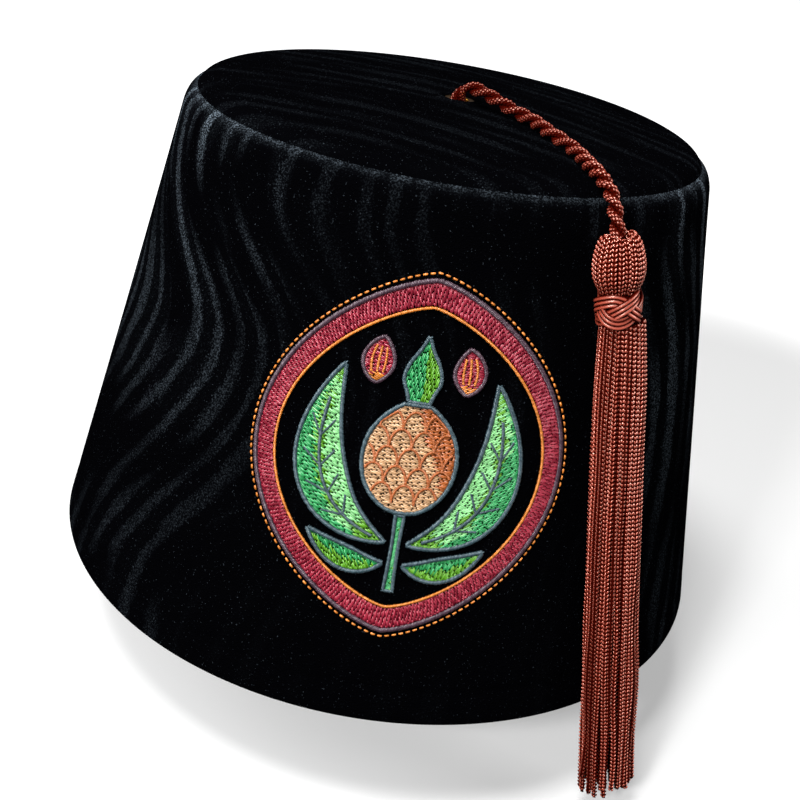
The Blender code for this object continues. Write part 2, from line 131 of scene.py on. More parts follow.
def linear(hex_colour):
    """An sRGB hex colour as the linear red, green, blue and alpha that shaders use."""
    shares = [int(hex_colour[place:place + 2], 16) / 255 for place in (1, 3, 5)]
    return tuple(s / 12.92 if s <= 0.04045 else ((s + 0.055) / 1.055) ** 2.4
                 for s in shares) + (1.0,)


def colour_property(name, description, hex_colour):
    """A colour that a user can change, with its default as an sRGB hex value."""
    return FloatVectorProperty(name=name, description=description, subtype="COLOR", size=4,
                               min=0.0, max=1.0, default=linear(hex_colour))


def length_property(name, description, default):
    """A length that a user can change, in metres."""
    return FloatProperty(name=name, description=description, default=default, min=0.0,
                         precision=5, unit="LENGTH")


class FezSizes(PropertyGroup):
    """Sizes of the hat, its cord, its tassel and its stitches."""
    rim_radius: length_property("Rim radius", "Outer face of the wall at the rim", 0.095)
    crown_radius: length_property("Crown radius", "Widest radius of the rounded edge", 0.0708)
    crown_height: length_property("Crown height", "Height of the tip without its dome", 0.130)
    edge_radius: length_property("Edge radius", "Rounding between wall and tip", 0.0098)
    crown_dome: length_property("Crown dome", "Rise of the tip in its middle", 0.0014)
    wall: length_property("Wall", "Thickness of velvet and stiffening", 0.0028)
    hem_height: length_property("Hem height", "Hem stitches above the rim", 0.0076)
    cord_diameter: length_property("Cord diameter", "Thickness of the twisted cord", 0.0036)
    cord_pitch: length_property("Cord pitch", "Length of one turn of a ply", 0.0084)
    gimp_diameter: length_property("Gimp diameter", "Thickness of the knot's strands", 0.00101)
    strand_spacing: length_property("Strand spacing", "Between strands of the skirt", 0.00148)
    stitch_pitch: length_property("Chainette pitch", "Between stitches of a strand", 0.00109)
    thread_width: length_property("Thread width", "Width of embroidery thread", 0.00042)
    medallion_height: length_property("Medallion height", "Its middle above the rim", 0.066)
    medallion_half_width: length_property("Medallion half width", "From middle to side", 0.0373)
    medallion_half_height: length_property("Medallion half height", "Middle to point", 0.0430)
    medallion_band: length_property("Medallion band", "Width of its border", 0.0058)
    medallion_azimuth: FloatProperty(name="Medallion azimuth", default=radians(4.0),
                                     description="From the front towards the tassel",
                                     subtype="ANGLE", unit="ROTATION")
    head_wales: IntProperty(name="Head wales", default=23, min=12,
                            description="Chainette strands round the tassel's head")


class FezColours(PropertyGroup):
    """Colours of the velvet, the rayon and the threads."""
    pile: colour_property("Velvet", "Pile seen end on", "#020203")
    # painted sheen: the colour of lying pile that catches the light, mixed into the streaks
    crush: colour_property("Crushed velvet", "Pile that lies over and shows its side", "#59636C")
    backing: colour_property("Backing", "Black cotton back of the velvet", "#0E0E10")
    rayon: colour_property("Rayon", "Rust rayon of cord and tassel", "#C2503A")
    # painted shade: the colour of the rayon in the gaps between its strands
    rayon_deep: colour_property("Deep rayon", "Rust rayon between the strands", "#380602")
    brass: colour_property("Brass", "Rolled brass of the eyelet", "#9A6A24")
    maroon: colour_property("Maroon thread", "Border and buds", "#A02038")
    plum: colour_property("Plum thread", "Outer edge of the border", "#4A3340")
    orange: colour_property("Orange thread", "Inner edge, dashes and accents", "#E0842C")
    light_green: colour_property("Light green thread", "Lit side of the leaves", "#8CD98A")
    green: colour_property("Green thread", "Shaded side of the leaves", "#2FA058")
    olive: colour_property("Olive thread", "Deep shade of the leaves", "#5FA31E")
    slate: colour_property("Slate thread", "Outlines", "#3C535C")
    tan: colour_property("Tan thread", "Fruit", "#D2A477")
    brown: colour_property("Brown thread", "Shade of the fruit", "#B4602A")
    black: colour_property("Black thread", "Hem stitches", "#26282B")
    floor: colour_property("Floor", "Pale studio floor", "#F7F7F7")


# ------------------ meshes from arrays

def unit(vectors):
    """Vectors divided by their lengths, along the last axis."""
    return vectors / np.linalg.norm(vectors, axis=-1, keepdims=True)


def squared_up(outward, along):
    """The part of a direction that is square to a path, as a unit vector."""
    return unit(outward - along * np.sum(outward * along, axis=-1, keepdims=True))


def full_turn(count):
    """Angles of evenly spaced places round a circle."""
    return np.arange(count) * 2 * pi / count


def level(angles):
    """Level directions at angles round Z."""
    return np.stack([np.cos(angles), np.sin(angles), np.zeros_like(angles)], axis=-1)


def leftward(ahead):
    """Directions in the flat, turned a quarter to the left."""
    return np.column_stack([-ahead[:, 1], ahead[:, 0]])


def distances(path):
    """How far along a path each of its points lies."""
    return np.append(0, np.cumsum(np.linalg.norm(np.diff(path, axis=0), axis=1)))


def read_off(places, travelled, values):
    """Rows of values that are given at distances travelled, read off at other places."""
    return np.column_stack([np.interp(places, travelled, column) for column in values.T])


def grid_faces(rows, columns, wrap_rows=False, wrap_columns=False, flip=False):
    """Quads of a grid of points, and the same quads on a grid that isn't wrapped.

    The second array counts one more column, and one more row, than a wrapped grid has, so
    that a map can go on past the place where the surface closes.
    """
    row, column = np.meshgrid(np.arange(rows if wrap_rows else rows - 1),
                              np.arange(columns if wrap_columns else columns - 1),
                              indexing="ij")
    corner_rows = np.stack([row, row, row + 1, row + 1], axis=-1).reshape(-1, 4)
    corner_columns = np.stack([column, column + 1, column + 1, column], axis=-1).reshape(-1, 4)
    if flip:
        corner_rows, corner_columns = corner_rows[:, ::-1], corner_columns[:, ::-1]
    faces = corner_rows % rows * columns + corner_columns % columns
    return faces, corner_rows * (columns + 1) + corner_columns


def repeated(faces, count, block):
    """Face arrays of one shape, repeated for copies that follow each other in the points."""
    starts = (np.arange(count) * block)[:, None, None]
    return [(array[None] + starts).reshape(-1, array.shape[1]) for array in faces]


def tubes(paths, outward, radii, sides):
    """Circles carried along paths, closed at both ends by a flat face.

    A ring's points are centre + radius * (cos(a) * normal + sin(a) * side), where the normal
    is the outward direction squared up to the path. paths and outward are (tubes, stations,
    3), radii is (tubes, stations). Returns points, a list of face arrays, and each point's
    tube.
    """
    count, stations = paths.shape[:2]
    along = unit(np.gradient(paths, axis=1))
    normal = squared_up(outward, along)
    side = np.cross(along, normal)
    turn = full_turn(sides)
    circle = (np.cos(turn)[:, None] * normal[:, :, None]
              + np.sin(turn)[:, None] * side[:, :, None])
    points = paths[:, :, None] + radii[:, :, None, None] * circle
    block = stations * sides
    quads = grid_faces(stations, sides, wrap_columns=True)[0]
    ring = np.arange(sides)[None]
    faces = repeated((quads, ring[:, ::-1], ring + block - sides), count, block)
    return points.reshape(-1, 3), faces, np.repeat(np.arange(count), block)


def spindle_faces(rings, sides):
    """Faces of rings * sides points with a pole at each end; the poles come last."""
    ring = np.arange(sides)
    after = (ring + 1) % sides
    last = (rings - 1) * sides
    first_pole = np.full(sides, rings * sides)
    quads = grid_faces(rings, sides, wrap_columns=True)[0]
    start = np.stack([first_pole, after, ring], axis=1)
    end = np.stack([first_pole + 1, last + ring, last + after], axis=1)
    return quads, np.vstack([start, end])


BEAD_SIDES = 6
BEAD_RINGS = (-0.5, 0.5)  # places of the two rings on the long axis, as shares
FACING_HIGHLIGHT = 0.50        # painted highlight: how much lighter a bead is on top than at its sides
# painted shade: how much darker a bead is at its ends
END_SHADE = -0.55


def beads(centres, long_axis, out_axis, sizes):
    """Egg-shaped beads, each an ellipsoid of two rings and two poles.

    A point is centre + length * x * long axis + width * y * side axis + depth * z * out axis,
    with (x, y, z) on the unit sphere. sizes is (beads, 3): half length, width and depth.
    Returns points, faces and each point's tone: a painted highlight where z is high, painted
    shade at the ends.
    """
    turn = full_turn(BEAD_SIDES)
    rings = [np.column_stack([np.full(BEAD_SIDES, x), np.sqrt(1 - x * x) * np.cos(turn),
                              np.sqrt(1 - x * x) * np.sin(turn)]) for x in BEAD_RINGS]
    shape = np.vstack(rings + [[(-1, 0, 0), (1, 0, 0)]])
    along = unit(long_axis)
    out = squared_up(out_axis, along)
    axes = np.stack([along, np.cross(out, along), out], axis=1)
    points = centres[:, None] + np.einsum("mk,nk,nkd->nmd", shape, sizes, axes)
    faces = repeated(spindle_faces(len(BEAD_RINGS), BEAD_SIDES), len(centres), len(shape))
    tone = FACING_HIGHLIGHT * shape[:, 2] + END_SHADE * (shape[:, 0] ** 2 - BEAD_RINGS[0] ** 2)
    return points.reshape(-1, 3), faces, np.tile(tone, len(centres))


def join(parts):
    """Several (points, faces) pairs as one, and the index of the part of each point."""
    points, faces, owner, start = [], [], [], 0
    for index, (some_points, some_faces) in enumerate(parts):
        points.append(some_points)
        faces += [array + start for array in some_faces]
        owner.append(np.full(len(some_points), index))
        start += len(some_points)
    return np.vstack(points), faces, np.concatenate(owner)


def make_piece(name, points, faces, materials, nodes=(), tone=None, uv=None,
               face_materials=None, point_values=None):
    """Put arrays into a mesh that rides on the hat and stands for its nodes.

    tone is one number for each point, uv an array for each face array with one place for
    each corner, and point_values further named numbers for each point.
    """
    mesh = bpy.data.meshes.new(name)
    corners = np.concatenate([array.ravel() for array in faces]).astype(np.int32)
    lengths = np.concatenate([np.full(len(array), array.shape[1]) for array in faces])
    starts = np.concatenate([[0], np.cumsum(lengths)[:-1]]).astype(np.int32)
    mesh.vertices.add(len(points))
    mesh.vertices.foreach_set("co", np.ascontiguousarray(points, dtype=np.float32).ravel())
    mesh.loops.add(len(corners))
    mesh.loops.foreach_set("vertex_index", corners)
    mesh.polygons.add(len(lengths))
    mesh.polygons.foreach_set("loop_start", starts)
    for finish in materials:
        mesh.materials.append(finish)
    if face_materials is not None:
        mesh.polygons.foreach_set("material_index", face_materials.astype(np.int32))
    mesh.update(calc_edges=True)
    if uv is not None:
        layer = mesh.uv_layers.new(name="cloth")
        layer.data.foreach_set("uv", np.concatenate(
            [array.reshape(-1, 2) for array in uv]).astype(np.float32).ravel())
    values = dict(point_values or {})
    if tone is not None:
        values["tone"] = tone
    for key, numbers in values.items():
        attribute = mesh.attributes.new(key, "FLOAT", "POINT")
        attribute.data.foreach_set("value", np.asarray(numbers, dtype=np.float32))
    mesh.shade_smooth()
    piece = bpy.data.objects.new(name, mesh)
    bpy.context.scene.collection.objects.link(piece)
    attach(piece, BODY)
    if nodes:
        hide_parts(*nodes)
    return piece


def smooth_route(points, count, steps=12):
    """Evenly spaced points on a Catmull-Rom curve through the given ones."""
    knots = np.array(points, dtype=float)
    padded = np.vstack([2 * knots[0] - knots[1], knots, 2 * knots[-1] - knots[-2]])
    share = np.linspace(0, 1, steps, endpoint=False)[:, None]
    pieces = []
    for before, start, end, after in zip(padded, padded[1:], padded[2:], padded[3:]):
        pieces.append(0.5 * (2 * start + (end - before) * share
                             + (2 * before - 5 * start + 4 * end - after) * share ** 2
                             + (3 * start - before - 3 * end + after) * share ** 3))
    dense = np.vstack(pieces + [knots[-1:]])
    travelled = distances(dense)
    return read_off(np.linspace(0, travelled[-1], count), travelled, dense)


def placed(axes, place):
    """A matrix with an object's X, Y and Z directions and its place, column by column."""
    matrix = np.eye(4)
    matrix[:3, :3] = np.stack(axes, axis=1)
    matrix[:3, 3] = place
    return matrix.T.tolist()


# ------------------ materials

def add_node(tree, kind, inputs=None, onward=None, **settings):
    """Add a node, set its properties, set or link its sockets, and link its output onward."""
    made = tree.nodes.new(kind)
    for name, value in settings.items():
        setattr(made, name, value)
    for socket, value in (inputs or {}).items():
        if isinstance(value, bpy.types.NodeSocket):
            tree.links.new(value, made.inputs[socket])
        else:
            made.inputs[socket].default_value = value
    if onward:
        tree.links.new(next(output for output in made.outputs if output.enabled), onward)
    return made


def new_material(name, constants):
    """A material and its shader, with numbers that are the same all over set on the shader."""
    made = bpy.data.materials.new(name)
    made.use_nodes = True
    shader = made.node_tree.nodes["Principled BSDF"]
    for socket, value in constants.items():
        shader.inputs[socket].default_value = value
    return made, made.node_tree, shader


STREAK_PITCH = 0.0094  # between the crushed streaks of the velvet
WAVE_TURNS = 20.0      # radians of a wave texture in one unit of its coordinate
STREAK_STRETCH = 0.35  # how much slower the streaks change along than across
TUFT = 0.00042         # size of a tuft of the pile
FRAY = 0.8             # how far single tufts move a streak's edge
BACKING_THREAD = 0.0005
FILAMENT = 0.0004      # length over which a rayon thread changes
FILAMENT_SHARE = 0.4
GAP_SHADE = 0.30      # painted shade: an embroidery thread's colour in the gaps, as a share
SCUFF = 0.0011         # size of the faint scuffs on brass


def velvet_material(colours):
    """Black cotton velvet, woven, sheared and steamed, with a watered pattern crushed into its
    pile.

    The pile is near black end on. Where it lies over, the sheen of its sides is painted into
    its colour: wavy blue-grey streaks of painted sheen about 10 mm apart with frayed edges,
    which run along the map's second axis and break up into painted glints on single tufts.
    Point attributes say how much sheen is painted where, and add a painted highlight along
    the crown's edge.
    """
    finish, tree, shader = new_material("black cotton velvet", {
        "Roughness": 1.0, "Specular IOR Level": 0.0})
    cloth = add_node(tree, "ShaderNodeUVMap", uv_map="cloth").outputs[0]
    place = add_node(tree, "ShaderNodeTexCoord").outputs["Object"]
    # How much sheen is painted into the pile's colour: in its streaks, and as a painted
    # highlight along the crown's edge.
    crush = add_node(tree, "ShaderNodeAttribute", attribute_name="crush").outputs["Fac"]
    rub = add_node(tree, "ShaderNodeAttribute", attribute_name="rub").outputs["Fac"]
    scale = 2 * pi / WAVE_TURNS / STREAK_PITCH
    drawn = add_node(tree, "ShaderNodeMapping", {
        "Vector": cloth, "Scale": (scale, scale * STREAK_STRETCH, 1.0)}).outputs[0]
    wave = add_node(tree, "ShaderNodeTexWave", {
        "Vector": drawn, "Scale": 1.0, "Distortion": 9.0, "Detail": 5.0,
        "Detail Scale": 0.8, "Detail Roughness": 0.58},
        bands_direction="X", wave_profile="SIN").outputs["Fac"]
    tuft = add_node(tree, "ShaderNodeTexNoise", {
        "Vector": place, "Scale": 1 / TUFT, "Detail": 1.0}).outputs["Fac"]
    frayed = add_node(tree, "ShaderNodeMath", {0: tuft, 1: FRAY, 2: wave},
                      operation="MULTIPLY_ADD").outputs[0]
    streak = add_node(tree, "ShaderNodeMapRange", {
        "Value": frayed, "From Min": 0.42 + FRAY / 2, "From Max": 1.0 + FRAY / 2,
        "To Min": 0.05}, interpolation_type="SMOOTHSTEP").outputs[0]
    drift = add_node(tree, "ShaderNodeTexNoise", {
        "Vector": drawn, "Scale": 2.2, "Detail": 1.0}).outputs["Fac"]
    patch = add_node(tree, "ShaderNodeMapRange", {
        "Value": drift, "From Min": 0.40, "From Max": 0.62},
        interpolation_type="SMOOTHSTEP").outputs[0]
    watered = add_node(tree, "ShaderNodeMath", {0: streak, 1: patch},
                       operation="MULTIPLY").outputs[0]
    crushed = add_node(tree, "ShaderNodeMath", {0: watered, 1: crush, 2: rub},
                       operation="MULTIPLY_ADD").outputs[0]
    grain = add_node(tree, "ShaderNodeMapRange", {
        "Value": tuft, "From Min": 0.44, "From Max": 0.64, "To Min": 0.08, "To Max": 1.0},
        interpolation_type="SMOOTHSTEP").outputs[0]
    # painted glints on single bright tufts of the pile
    glint = add_node(tree, "ShaderNodeMapRange", {
        "Value": tuft, "From Min": 0.70, "From Max": 0.80, "To Min": 0.0, "To Max": 0.22},
        interpolation_type="SMOOTHSTEP").outputs[0]
    # The share of painted sheen and painted glints in the pile's colour.
    lying_sheen = add_node(tree, "ShaderNodeMath", {0: crushed, 1: grain, 2: glint},
                     operation="MULTIPLY_ADD", use_clamp=True).outputs[0]
    add_node(tree, "ShaderNodeMix", {"Factor": lying_sheen, "A": colours.pile, "B": colours.crush},
             shader.inputs["Base Color"], data_type="RGBA")
    add_node(tree, "ShaderNodeBump", {"Height": grain, "Strength": 0.6, "Distance": 0.0003},
             shader.inputs["Normal"])
    return finish


def backing_material(colours):
    """Black cotton plain weave, the back of the velvet: matt, with a thread every 0.5 mm."""
    finish, tree, shader = new_material("black cotton plain weave", {
        "Roughness": 0.9, "Specular IOR Level": 0.2})
    place = add_node(tree, "ShaderNodeTexCoord").outputs["Object"]
    thread = add_node(tree, "ShaderNodeTexNoise", {
        "Vector": place, "Scale": 1 / BACKING_THREAD, "Detail": 1.0}).outputs["Fac"]
    add_node(tree, "ShaderNodeMix", {"Factor": thread, "A": colours.pile, "B": colours.backing},
             shader.inputs["Base Color"], data_type="RGBA")
    add_node(tree, "ShaderNodeBump", {"Height": thread, "Strength": 0.4, "Distance": 0.0002},
             shader.inputs["Normal"])
    return finish


def thread_material(name, colour, deep, gloss, roughness, ior=1.5):
    """Rayon, spun from a bath as endless shining filaments and twisted into yarn.

    Each point has a tone from its deep colour, a painted shade, to its full colour: a tone
    of its own, plus the painted highlights and shade that its mesh gives it. The satin
    highlight is turned down with the tone and so fades in the gaps between threads; the
    filaments break both up about every 0.4 mm.
    Yarn of a name that was spun before is taken again.
    """
    if name in bpy.data.materials:
        return bpy.data.materials[name]
    finish, tree, shader = new_material(name, {
        "Roughness": roughness, "Specular Tint": gloss, "IOR": ior})
    place = add_node(tree, "ShaderNodeTexCoord").outputs["Object"]
    tone = add_node(tree, "ShaderNodeAttribute", attribute_name="tone").outputs["Fac"]
    filament = add_node(tree, "ShaderNodeTexNoise", {
        "Vector": place, "Scale": 1 / FILAMENT, "Detail": 2.0}).outputs["Fac"]
    depth = add_node(tree, "ShaderNodeMath", {0: filament, 1: FILAMENT_SHARE, 2: tone},
                     operation="MULTIPLY_ADD", use_clamp=True).outputs[0]
    tree.links.new(depth, shader.inputs["Specular IOR Level"])
    add_node(tree, "ShaderNodeMix", {"Factor": depth, "A": deep, "B": colour},
             shader.inputs["Base Color"], data_type="RGBA")
    add_node(tree, "ShaderNodeBump", {"Height": filament, "Strength": 0.3, "Distance": 0.0001},
             shader.inputs["Normal"])
    return finish


def darker(colour, share):
    """A colour's red, green and blue times a share."""
    return tuple(channel * share for channel in colour[:3]) + (1.0,)


def rayon_material(colours, name="knitted rust rayon", roughness=0.34, ior=2.5):
    """Rust rayon: its highlight is tinted, for the light passes through dyed filament."""
    return thread_material(name, colours.rayon, colours.rayon_deep, linear("#FFD8C8"),
                           roughness, ior)


def embroidery_materials(colours, *names):
    """One embroidery rayon for each named colour, twisted from bright filament."""
    finishes = []
    for name in names:
        colour = getattr(colours, name)
        title = f"{name.replace('_', ' ')} embroidery rayon"
        # The deep colour is the thread's colour darkened, as painted shade for the gaps.
        finishes.append(thread_material(title, colour, darker(colour, GAP_SHADE),
                                        linear("#FFFFFF"), roughness=0.40))
    return finishes


# ------------------ the hat's own surface

def edge_centre(sizes):
    """Radius and height of the middle of the rounding between wall and tip."""
    return sizes.crown_radius - sizes.edge_radius, sizes.crown_height - sizes.edge_radius


def wall_lean(sizes):
    """The wall's lean from upright: it runs from the rim and touches the rounded edge."""
    radius, height = edge_centre(sizes)
    inset = sizes.rim_radius - radius
    return atan2(inset, height) - asin(sizes.edge_radius / hypot(inset, height))


def on_wall(sizes, flat, stand_off):
    """Wrap flat places (metres right, metres up the slope) round the wall without stretch.

    The wall is part of a cone: a place keeps its distance from the cone's apex, and its angle
    there becomes an angle round the hat. stand_off is the height over the wall.
    """
    lean = wall_lean(sizes)
    right, up = flat[..., 0], flat[..., 1]
    apex_height = sizes.rim_radius / tan(lean)
    middle = (apex_height - sizes.medallion_height) / cos(lean)
    reach = np.hypot(right, middle - up)
    turn = sizes.medallion_azimuth + np.arctan2(right, middle - up) / sin(lean)
    radius = reach * sin(lean) + stand_off * cos(lean)
    height = apex_height - reach * cos(lean) + stand_off * sin(lean)
    return np.stack([radius * np.sin(turn), -radius * np.cos(turn), height], axis=-1)


def arc_points(centre, radius, first, last, count):
    """(radius, height) places on an arc between two angles in degrees."""
    angles = np.radians(np.linspace(first, last, count))
    return np.column_stack([centre[0] + radius * np.cos(angles),
                            centre[1] + radius * np.sin(angles)])


SEAM_ANGLE = 46         # where the crown's seam runs in the rounded edge
AROUND = 320            # columns round the crown
# Rows of the wall's closed shell, from the seam round the rim and back up inside.
UPPER_ROWS, STRAIGHT_ROWS, RIM_ROWS, INSIDE_ROWS, INNER_ROWS = 14, 84, 12, 24, 6
TURNED_IN_ROWS = 8      # rows of the rounded rim that the velvet still covers
SEAM_DEPTH = 0.0007     # how far the velvet turns in at a seam
SEAM_REACH = 0.0011
SEAM_GAP = 0.0003       # between the inner edges of wall and tip, in the seam
HEM_DENT = 0.00035      # how far the hem stitches pull the pile in
HEM_REACH = 0.0009
WAVINESS = 0.00018      # gentle unevenness of the steamed wall
WAVES_ROUND = (5, 3)    # slow waves round the wall that beat against each other
WAVE_SLANT = 4          # radians by which the first shifts on its way down the wall
WAVE_PHASE = 2
BOW_LEFT = 0.037        # how far the watered streaks bow on the hat's left
BOW_RIGHT = 0.011
BOW_SPAN = (0.008, 0.050, 0.125)  # down the wall: where the bow starts, is widest, ends
BOW_CHANGE = (-35, 30)  # degrees round from the front, from the left bow to the right
CLOTH_GIRTH = 0.87      # the wall's girth at half its height, as a share of the rim's
CRUSH_SHEEN = 0.42            # painted sheen of the pile that lies over: its share in a streak on the flanks
SHEEN_FALL = 1.1        # how fast that painted sheen fades on the way down, and the least share of it
LEAST_SHEEN = 0.2
CREASE_SHEEN = 1.2      # painted highlight: how much more sheen is painted along the crown's edge
CREASE_REACH = 0.007
PLAIN_FRONT = (-17, 43)      # degrees round from the front where the painted sheen is kept faint
FRONT_FADE = (22, 12)    # degrees over which the painted sheen comes back, left and right
FRONT_SHEEN = 0.07     # share of the painted sheen that is left on the front
EDGE_SHEEN = 0.55              # painted highlight on the pile along the crown's edge
EDGE_SHEEN_REACH = 0.0012
RAGGED = (0.35, 1.0)    # its least and greatest share, column by column
EDGE_SHEEN_START = 0.45        # share of that painted highlight where no sheen is painted on the pile
EDGE_SHEEN_SEED = 3
# painted sheen in the tip's streaks
TIP_SHEEN = 0.045
TIP_SLOPE = 0.40        # the tip's streaks fall by this towards its right
TIP_BOW = 4.4           # and by this times the square of the place
TIP_HOLE = 0.0034
TIP_CENTRING = 0.5      # share of the tip's radius over which its rings shift
COLLAR_RISE = 0.0010    # the pile stands up round the eyelet
COLLAR_RADIUS = 0.0051
COLLAR_REACH = 0.0011
COLLAR_EDGE = 0.0100    # the rings lie close together inside this radius
# Rings of the tip's closed shell, from the eyelet to the seam.
COLLAR_ROWS, FLAT_ROWS, TIP_EDGE_ROWS, TIP_INNER_ROWS = 24, 36, 16, 6


def bell(distance, reach):
    """A smooth bump of height 1 that fades out over reach."""
    return np.exp(-(distance / reach) ** 2)


def smooth_rise(values, low, high):
    """0 below low, 1 above high, and a smooth rise between them."""
    share = np.clip((values - low) / (high - low), 0, 1)
    return share * share * (3 - 2 * share)


def turned_grid(profile, turn):
    """Points of a profile of (radius, height) turned about Z: (rows, angles, 3)."""
    radius, height = profile[:, :1], profile[:, 1:]
    return np.stack([radius * np.cos(turn), radius * np.sin(turn),
                     np.broadcast_to(height, (len(profile), len(turn)))], axis=-1)


def crown_side_arrays(sizes):
    """The leaning wall as a closed shell, turned from one profile.

    The profile runs from the seam down the outer face, round the rim and up the inside. On
    the outer face the radius is pulled in by bells at the crown seam, the hem and the back
    seam, and by slow sine waves. Returns the grid of points, each row's distance down the
    profile, the rim's distance, and the number of rows on the outer face.
    """
    lean = degrees(wall_lean(sizes))
    edge = edge_centre(sizes)
    rim = (sizes.rim_radius - sizes.wall / 2, sizes.wall / 2)
    upper = arc_points(edge, sizes.edge_radius, SEAM_ANGLE, lean, UPPER_ROWS)
    round_rim = arc_points(rim, sizes.wall / 2, lean, lean - 180, RIM_ROWS)
    inner = arc_points(edge, sizes.edge_radius - sizes.wall, lean, SEAM_ANGLE, INNER_ROWS)
    straight = np.linspace(upper[-1], round_rim[0], STRAIGHT_ROWS)[1:-1]
    inside = np.linspace(round_rim[-1], inner[0], INSIDE_ROWS)[1:-1]
    outer_rows = len(upper) + len(straight)
    profile = np.vstack([upper, straight, round_rim, inside, inner])
    slant = distances(profile)
    to_rim = slant[outer_rows]
    turn = pi / 2 + full_turn(AROUND)
    # Both seams, the hem and the waves draw the outer face in, towards the hat's axis.
    down = slant[:, None]
    column = np.arange(AROUND)
    from_back = np.minimum(column, AROUND - column) * (2 * pi / AROUND) * sizes.rim_radius
    sag = SEAM_DEPTH * bell(down, SEAM_REACH) + HEM_DENT * bell(
        to_rim - down - sizes.hem_height, HEM_REACH)
    sag = np.maximum(sag, SEAM_DEPTH * bell(from_back, SEAM_REACH))
    fade = np.sin(pi * np.clip(down / to_rim, 0, 1))
    waves = WAVINESS * fade * (1 + np.sin(WAVES_ROUND[0] * turn + WAVE_SLANT * down / to_rim)
                               * np.cos(WAVES_ROUND[1] * turn - WAVE_PHASE))
    outer = (np.arange(len(profile)) < outer_rows)[:, None]
    draw = np.where(outer, sag + waves, 0.0)
    points = turned_grid(profile, turn)
    points -= draw[..., None] * level(turn)
    return points, slant, to_rim, outer_rows


def wall_map(slant, girth):
    """Where the wall's pile lies in its watered pattern: places across and along it.

    The streaks bow towards the hat's right: the place across is the place round the wall,
    less a bow that rises over the top 50 mm of the wall and falls over the rest. The bow is
    larger on the hat's left than on its right.
    """
    around = np.linspace(0, 1, AROUND + 1)
    azimuth = around * 360 - 180
    start, widest, end = BOW_SPAN
    height = np.minimum(smooth_rise(slant, start, widest), 1 - smooth_rise(slant, widest, end))
    bow = BOW_LEFT + (BOW_RIGHT - BOW_LEFT) * smooth_rise(azimuth, *BOW_CHANGE)
    across = around * girth - height[:, None] * bow
    along = np.broadcast_to(slant[:, None], across.shape)
    return np.stack([across, along], axis=-1).reshape(-1, 2)


def sheen_by_azimuth(x, y):
    """How much sheen is painted on the crushed pile round the hat: least on the front."""
    azimuth = np.degrees(np.arctan2(x, -y))
    beyond = np.maximum((PLAIN_FRONT[0] - azimuth) / FRONT_FADE[0],
                        (azimuth - PLAIN_FRONT[1]) / FRONT_FADE[1])
    return CRUSH_SHEEN * np.clip(beyond, FRONT_SHEEN, 1.0)


